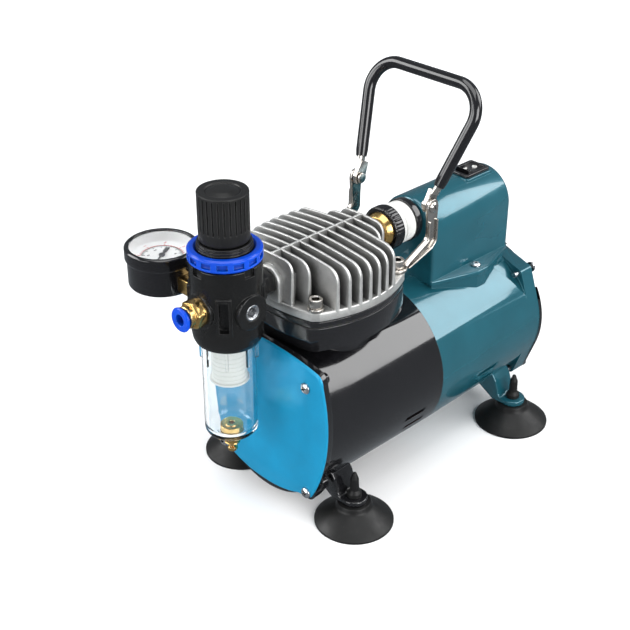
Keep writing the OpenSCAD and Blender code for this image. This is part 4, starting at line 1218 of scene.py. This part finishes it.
def bonnet():
    z1 = bonnet_high.z
    profile = [(11.5, bonnet_low.z), (13.5, bonnet_low.z), (13.5, RING_Z), (14.6, RING_Z), (14.6, 174, 0.3),
               (13.9, 174.2, 0.1), (13.9, 174.7, 0.1), (14.4, 174.9, 0.15), (14.4, 175.5, 0.15),
               (13.6, 175.7, 0.1), (13.6, 176.2, 0.1), (14, 176.4, 0.15), (14, z1, 0.25), (3.6, z1),
               (3.6, 173.5), (11.5, 173.5)]
    return at_reg(lathe(profile, 128, closed=True))


def lock_ring():
    z0, z1 = ring_low.z, ring_high.z
    r = 19.25
    body = lathe([(14.72, z0), (18.2, z0, 0.5), (r, z0 + 1, 0.6), (r, z1 - 0.9, 0.5), (18, z1, 0.6),
                  (15.9, z1, 0.3), (14.72, z1 - 1)], 180, closed=True)
    pockets = []
    for k in range(14):
        pocket = block(r - 1.8, r + 2, -2.8, 2.8, z0 + 1.9, z1 - 2.0, 0.3, 0.7)
        pockets.append(moved(pocket, spin=360 * (k + 0.25) / 14))
    return at_reg(softened(cut(body, *pockets), 0.25))


def knob():
    z0, z1 = knob_low.z, knob_high.z
    profile = [(3.6, z0), (12.4, z0, 0.3), (13, z0 + 0.9, 0.5), (KNOB_R, z0 + 6.4)]
    profile += [(KNOB_R, z0 + 6.8 + (z1 - 1.8 - z0 - 6.8) * k / 6) for k in range(7)]
    profile += [(KNOB_R, z1 - 1.4), (KNOB_R, z1 - 0.2, 0.6), (9.4, z1 - 0.3, 0.3), (8.9, z1 - 1.1, 0.3),
                (8.3, z1 - 0.7, 0.4), (5, z1 + 0.4, 3), (0, z1 + 0.5), (0, 200), (3.6, 200)]

    def grooved(a, r, z):
        wave = min(1.0, max(0.0, math.cos(28 * a) - 0.55) / 0.3)
        return r - 0.9 * wave * (r > 12.9) * (z0 + 6.6 < z < z1 - 1.6), z

    return at_reg(lathe(profile, 560, closed=True, warp=grooved))


def plug():
    x0, x1 = plug_low.x, plug_high.x
    body = lathe([(0, x0), (4.35, x0, 0.5), (4.35, x1 + 0.3, 0.4), (3.7, x1 + 0.3, 0.2), (3.2, x1 - 0.4),
                  (0, x1 - 0.4)], 60)
    return at_port(cut(body, prism(hex_outline(5.6), x1 - 4, x1 + 2)), RIGHT, 12)


def fitting():
    y0, y1 = fitting_low.y, fitting_high.y
    face = REG.y - REG_R
    core = along_y([(2, y1), (4.5, y1), (4.5, face), (7.4, face), (7.4, face - 1), (6.0, face - 6),
                    (6.0, y0 + 0.4), (5.6, y0), (4.9, y0), (4.9, face - 6), (2, face - 6)],
                   0, PORT_Z, 64, True)
    nut = moved(prism(hex_outline(13.8, 1.2), 0, 5, 0.3, 0.9), (0, face - 1, PORT_Z), FORWARD, 15)
    mouth = rod_y(0, PORT_Z, 4.9, y0 - 1, face - 5, 0, 48)
    bore = rod_y(0, PORT_Z, 2, y0, y1 + 1, 0, 32)
    return cut(merged(core, nut), mouth, bore)


def collet():
    y0, y1 = collet_low.y, collet_high.y
    return along_y([(3.05, y0 + 0.3, 0.3), (6.1, y0, 0.5), (6.75, y0 + 0.9, 0.5), (6.4, y0 + 1.9, 0.3),
                    (4.6, y0 + 1.9), (4.6, y1, 0.3), (3.05, y1)], 0, PORT_Z, 96, True)


def bowl():
    z0, z1 = bowl_low.z, bowl_high.z
    r = 14.4
    outer = [(4.2, z0), (7.5, z0, 1.5), (r, z0 + 1.5, 7), (r, z1)]
    inner = [(r - 1.8, z1), (r - 1.8, z0 + 3.2, 5.4), (4.2, z0 + 1.8)]
    body = lathe(outer + inner, 128, closed=True)
    ribs = []
    for k in range(8):
        rib = block(r - 0.6, r + 1.05, -0.8, 0.8, 108, 119.3, 0.25, 0.5)
        ribs.append(moved(rib, spin=45 * k))
    return at_reg(merged(body, *ribs))


def filter_element():
    grooves = []
    for k in range(9):
        z = 97 + 2.6 * k
        grooves += [(9.5, z), (9.5, z + 1.8), (9.2, z + 2.0), (9.2, z + 2.4)]
    return at_reg(lathe([(0, 95), (8, 95, 0.5), (10.5, 95.6, 0.5), (10.5, 96.8, 0.2), *grooves,
                         (9.5, 121), (9.5, 123.9), (6, 124), (6, 127), (0, 127)], 96))


def drain_valve():
    z, z1 = bowl_low.z, valve_high.z
    profile = [(1.7, z1), (3.6, z1), (3.6, z1 - 0.5), (6.3, z1 - 0.5, 0.4), (6.3, z + 1.9), (4.1, z + 1.9),
               (4.1, z), (6.8, z, 0.3), (6.8, z - 2.4, 0.5), (5.2, z - 3.2, 0.3), (4.4, z - 5.2, 0.4),
               (4.4, z - 6.2, 0.2), (3.9, z - 6.4, 0.1), (4.4, z - 6.8, 0.2), (4.2, valve_low.z, 0.4),
               (1.7, valve_low.z)]
    return at_reg(lathe(profile, 72, closed=True))


def drain_pin():
    z0, z1 = pin_low.z, pin_high.z
    profile = [(0, z0), (2.2, z0, 0.5), (2.8, z0 + 0.8, 0.4), (2.8, z0 + 2.4, 0.4), (1.6, z0 + 3),
               (1.6, z1, 0.3), (0, z1)]
    return at_reg(lathe(profile, 48, warp=knurl(20, 0.12, 2.7)))


def nipple():
    y0 = reg_high.y
    y1 = FRONT_PORT_Y
    start, end = REG.y + 12, HEAD_Y - 27
    pipe = along_y([(2.4, start), (4.5, start), (4.5, end), (2.4, end)], 0, PORT_Z, 48, True)
    nut = moved(prism(hex_outline(13.8, 1.0), 0, y1 - y0, 0.6, 0.6), (0, y0, PORT_Z), BACK, 15)
    return cut(merged(pipe, nut), rod_y(0, PORT_Z, 2.4, start - 1, end + 1, 0, 32))


piece("regulator_housing", regulator_body(), "regulator_body")
piece("regulator_bonnet_turned", bonnet(), "regulator_bonnet")
piece("lock_ring_blue", lock_ring(), "lock_ring")
piece("pressure_knob_grooved", knob(), "pressure_knob", sharp=24)
piece("side_port_plug", plug(), "port_plug")
piece("hose_fitting", fitting(), "push_fitting")
piece("hose_collet", collet(), "push_collet")
piece("filter_bowl_clear", bowl(), "filter_bowl")
piece("filter_core", filter_element(), "filter_element")
piece("drain_body", drain_valve(), "drain_valve")
piece("drain_button", drain_pin(), "drain_pin")
piece("outlet_union", nipple(), "outlet_nipple")

# ---------------------------------------------------------------- gauge

GAUGE = joint_mm("needle_sweep")
gauge_low, gauge_high = box_mm("gauge_case")
stem_low, stem_high = box_mm("gauge_stem")
lens_low, lens_high = box_mm("gauge_lens")
DIAL_Z = GAUGE.z
DIAL_R = 17.8
GAUGE_BASE_R = 18.9
GAUGE_RING_R = 20
PRINT = 0.12
PRINT_Z = DIAL_Z - 0.05
SCALE_START = 225
SCALE_SWEEP = 270
SCALE_END = SCALE_START - SCALE_SWEEP


def at_gauge(bm):
    return moved(bm, (GAUGE.x, GAUGE.y, 0))


def gauge_case():
    z0, z1 = gauge_low.z, gauge_high.z
    cup = lathe([(0, z0), (GAUGE_BASE_R, z0, 1.8), (GAUGE_BASE_R, 147.2, 0.2), (19.6, 147.5, 0.3),
                 (GAUGE_RING_R, 148.2, 0.4), (GAUGE_RING_R, z1 - 0.8, 0.6), (19.1, z1, 0.5),
                 (17.6, z1, 0.4), (17.4, lens_high.z),
                 (DIAL_R, lens_high.z), (DIAL_R, z0 + 2.5), (0, z0 + 2.5)], 128)
    notch = block(16.9, 24, -4.5, 4.5, 134.5, 143.5)
    return at_gauge(cut(cup, notch))


def gauge_stem():
    body = prism(rounded([(-4.5, -4.5, 0.8), (4.5, -4.5, 0.8), (4.5, 4.5, 0.8), (-4.5, 4.5, 0.8)], 3),
                 0, stem_high.x - stem_low.x, 0.3, 0.3)
    return moved(body, (stem_low.x, GAUGE.y, (stem_low.z + stem_high.z) / 2), RIGHT)


def dial():
    """White cup whose floor carries the scale."""
    r = DIAL_R - 0.05
    profile = [(1.2, DIAL_Z - 1), (r, DIAL_Z - 1, 0.4), (r, lens_low.z), (r - 0.4, lens_low.z),
               (r - 0.9, DIAL_Z + 0.6, 0.6), (r - 1.3, DIAL_Z, 0.3), (1.2, DIAL_Z)]
    return at_gauge(lathe(profile, 96, closed=True))


def dial_angle(share):
    return SCALE_START - SCALE_SWEEP * share


def tick(share, r0, r1, width):
    bm = block(r0, r1, -width / 2, width / 2, PRINT_Z, DIAL_Z + PRINT)
    return moved(bm, spin=dial_angle(share))


def dial_arc(r0, r1):
    outline = arc(0, 0, r1, SCALE_END, SCALE_START, 60) + arc(0, 0, r0, SCALE_START, SCALE_END, 60)
    return prism(outline, PRINT_Z, DIAL_Z + PRINT)


def numeral(text, share, radius, size):
    curve = bpy.data.curves.new("numeral", "FONT")
    curve.body = text
    curve.size = size
    curve.align_x = "CENTER"
    curve.align_y = "CENTER"
    curve.extrude = PRINT / 2
    obj = bpy.data.objects.new("numeral", curve)
    bpy.context.scene.collection.objects.link(obj)
    mesh = bpy.data.meshes.new_from_object(obj.evaluated_get(bpy.context.evaluated_depsgraph_get()))
    bm = bmesh.new()
    bm.from_mesh(mesh)
    bpy.data.objects.remove(obj)
    bpy.data.curves.remove(curve)
    bpy.data.meshes.remove(mesh)
    bmesh.ops.remove_doubles(bm, verts=bm.verts, dist=1e-4)
    a = math.radians(dial_angle(share))
    bm.transform(Matrix.Translation((radius * math.cos(a), radius * math.sin(a), DIAL_Z + PRINT / 2)))
    return bm


def black_scale():
    marks = [tick(k / 50, *((9.9, 10.9, 0.15) if k % 5 else (9.0, 10.9, 0.3))) for k in range(51)]
    numbers = [numeral(str(2 * k), k / 5, 7.3, 2.2) for k in range(6)]
    return at_gauge(joined(dial_arc(10.9, 11.05), *marks, *numbers))


def red_scale():
    marks = [tick(k / 30, *((11.5, 12.3, 0.15) if k % 5 else (11.5, 13.0, 0.3))) for k in range(31)]
    numbers = [numeral(str(k), k / 6, 14.7, 2.4) for k in range(7)]
    return at_gauge(joined(dial_arc(11.35, 11.55), *marks, *numbers))


def needle():
    hub = lathe([(0, DIAL_Z - 6), (0.9, DIAL_Z - 6), (0.9, DIAL_Z + 0.3), (1.7, DIAL_Z + 0.3, 0.2),
                 (1.7, DIAL_Z + 1, 0.3), (0, DIAL_Z + 1.2)], 48)
    edge = [(-8.5, -1.2), (-4, -1.1), (-3, -0.5), (0, -0.6), (13.5, -0.18)]
    blade = prism(edge + [(x, -y) for x, y in reversed(edge)], DIAL_Z + 0.4, DIAL_Z + 0.8, 0.1, 0.1)
    return at_gauge(merged(hub, moved(blade, spin=-60)))


def lens():
    return at_gauge(disc(DIAL_R, lens_low.z, lens_high.z, 0.2, 96))


piece("gauge_case_gloss", gauge_case(), "gauge_case")
piece("gauge_stem_brass", gauge_stem(), "gauge_stem")
piece("gauge_dial_plate", dial(), "gauge_dial", dial_white)
piece("gauge_scale_black", black_scale(), look=dial_black, body="compressor", slot="gloss_black")
piece("gauge_scale_red", red_scale(), look=dial_red, body="compressor", slot="white_plastic")
piece("gauge_pointer", needle(), "gauge_needle")
piece("gauge_window", lens(), "gauge_lens", lens_clear)

# ---------------------------------------------------------------- the hidden parts keep their CAD shape

for name, obj in frame["nodes"].items():
    obj.data.materials.clear()
    obj.data.materials.append(LOOK[SLOT_OF[name]])
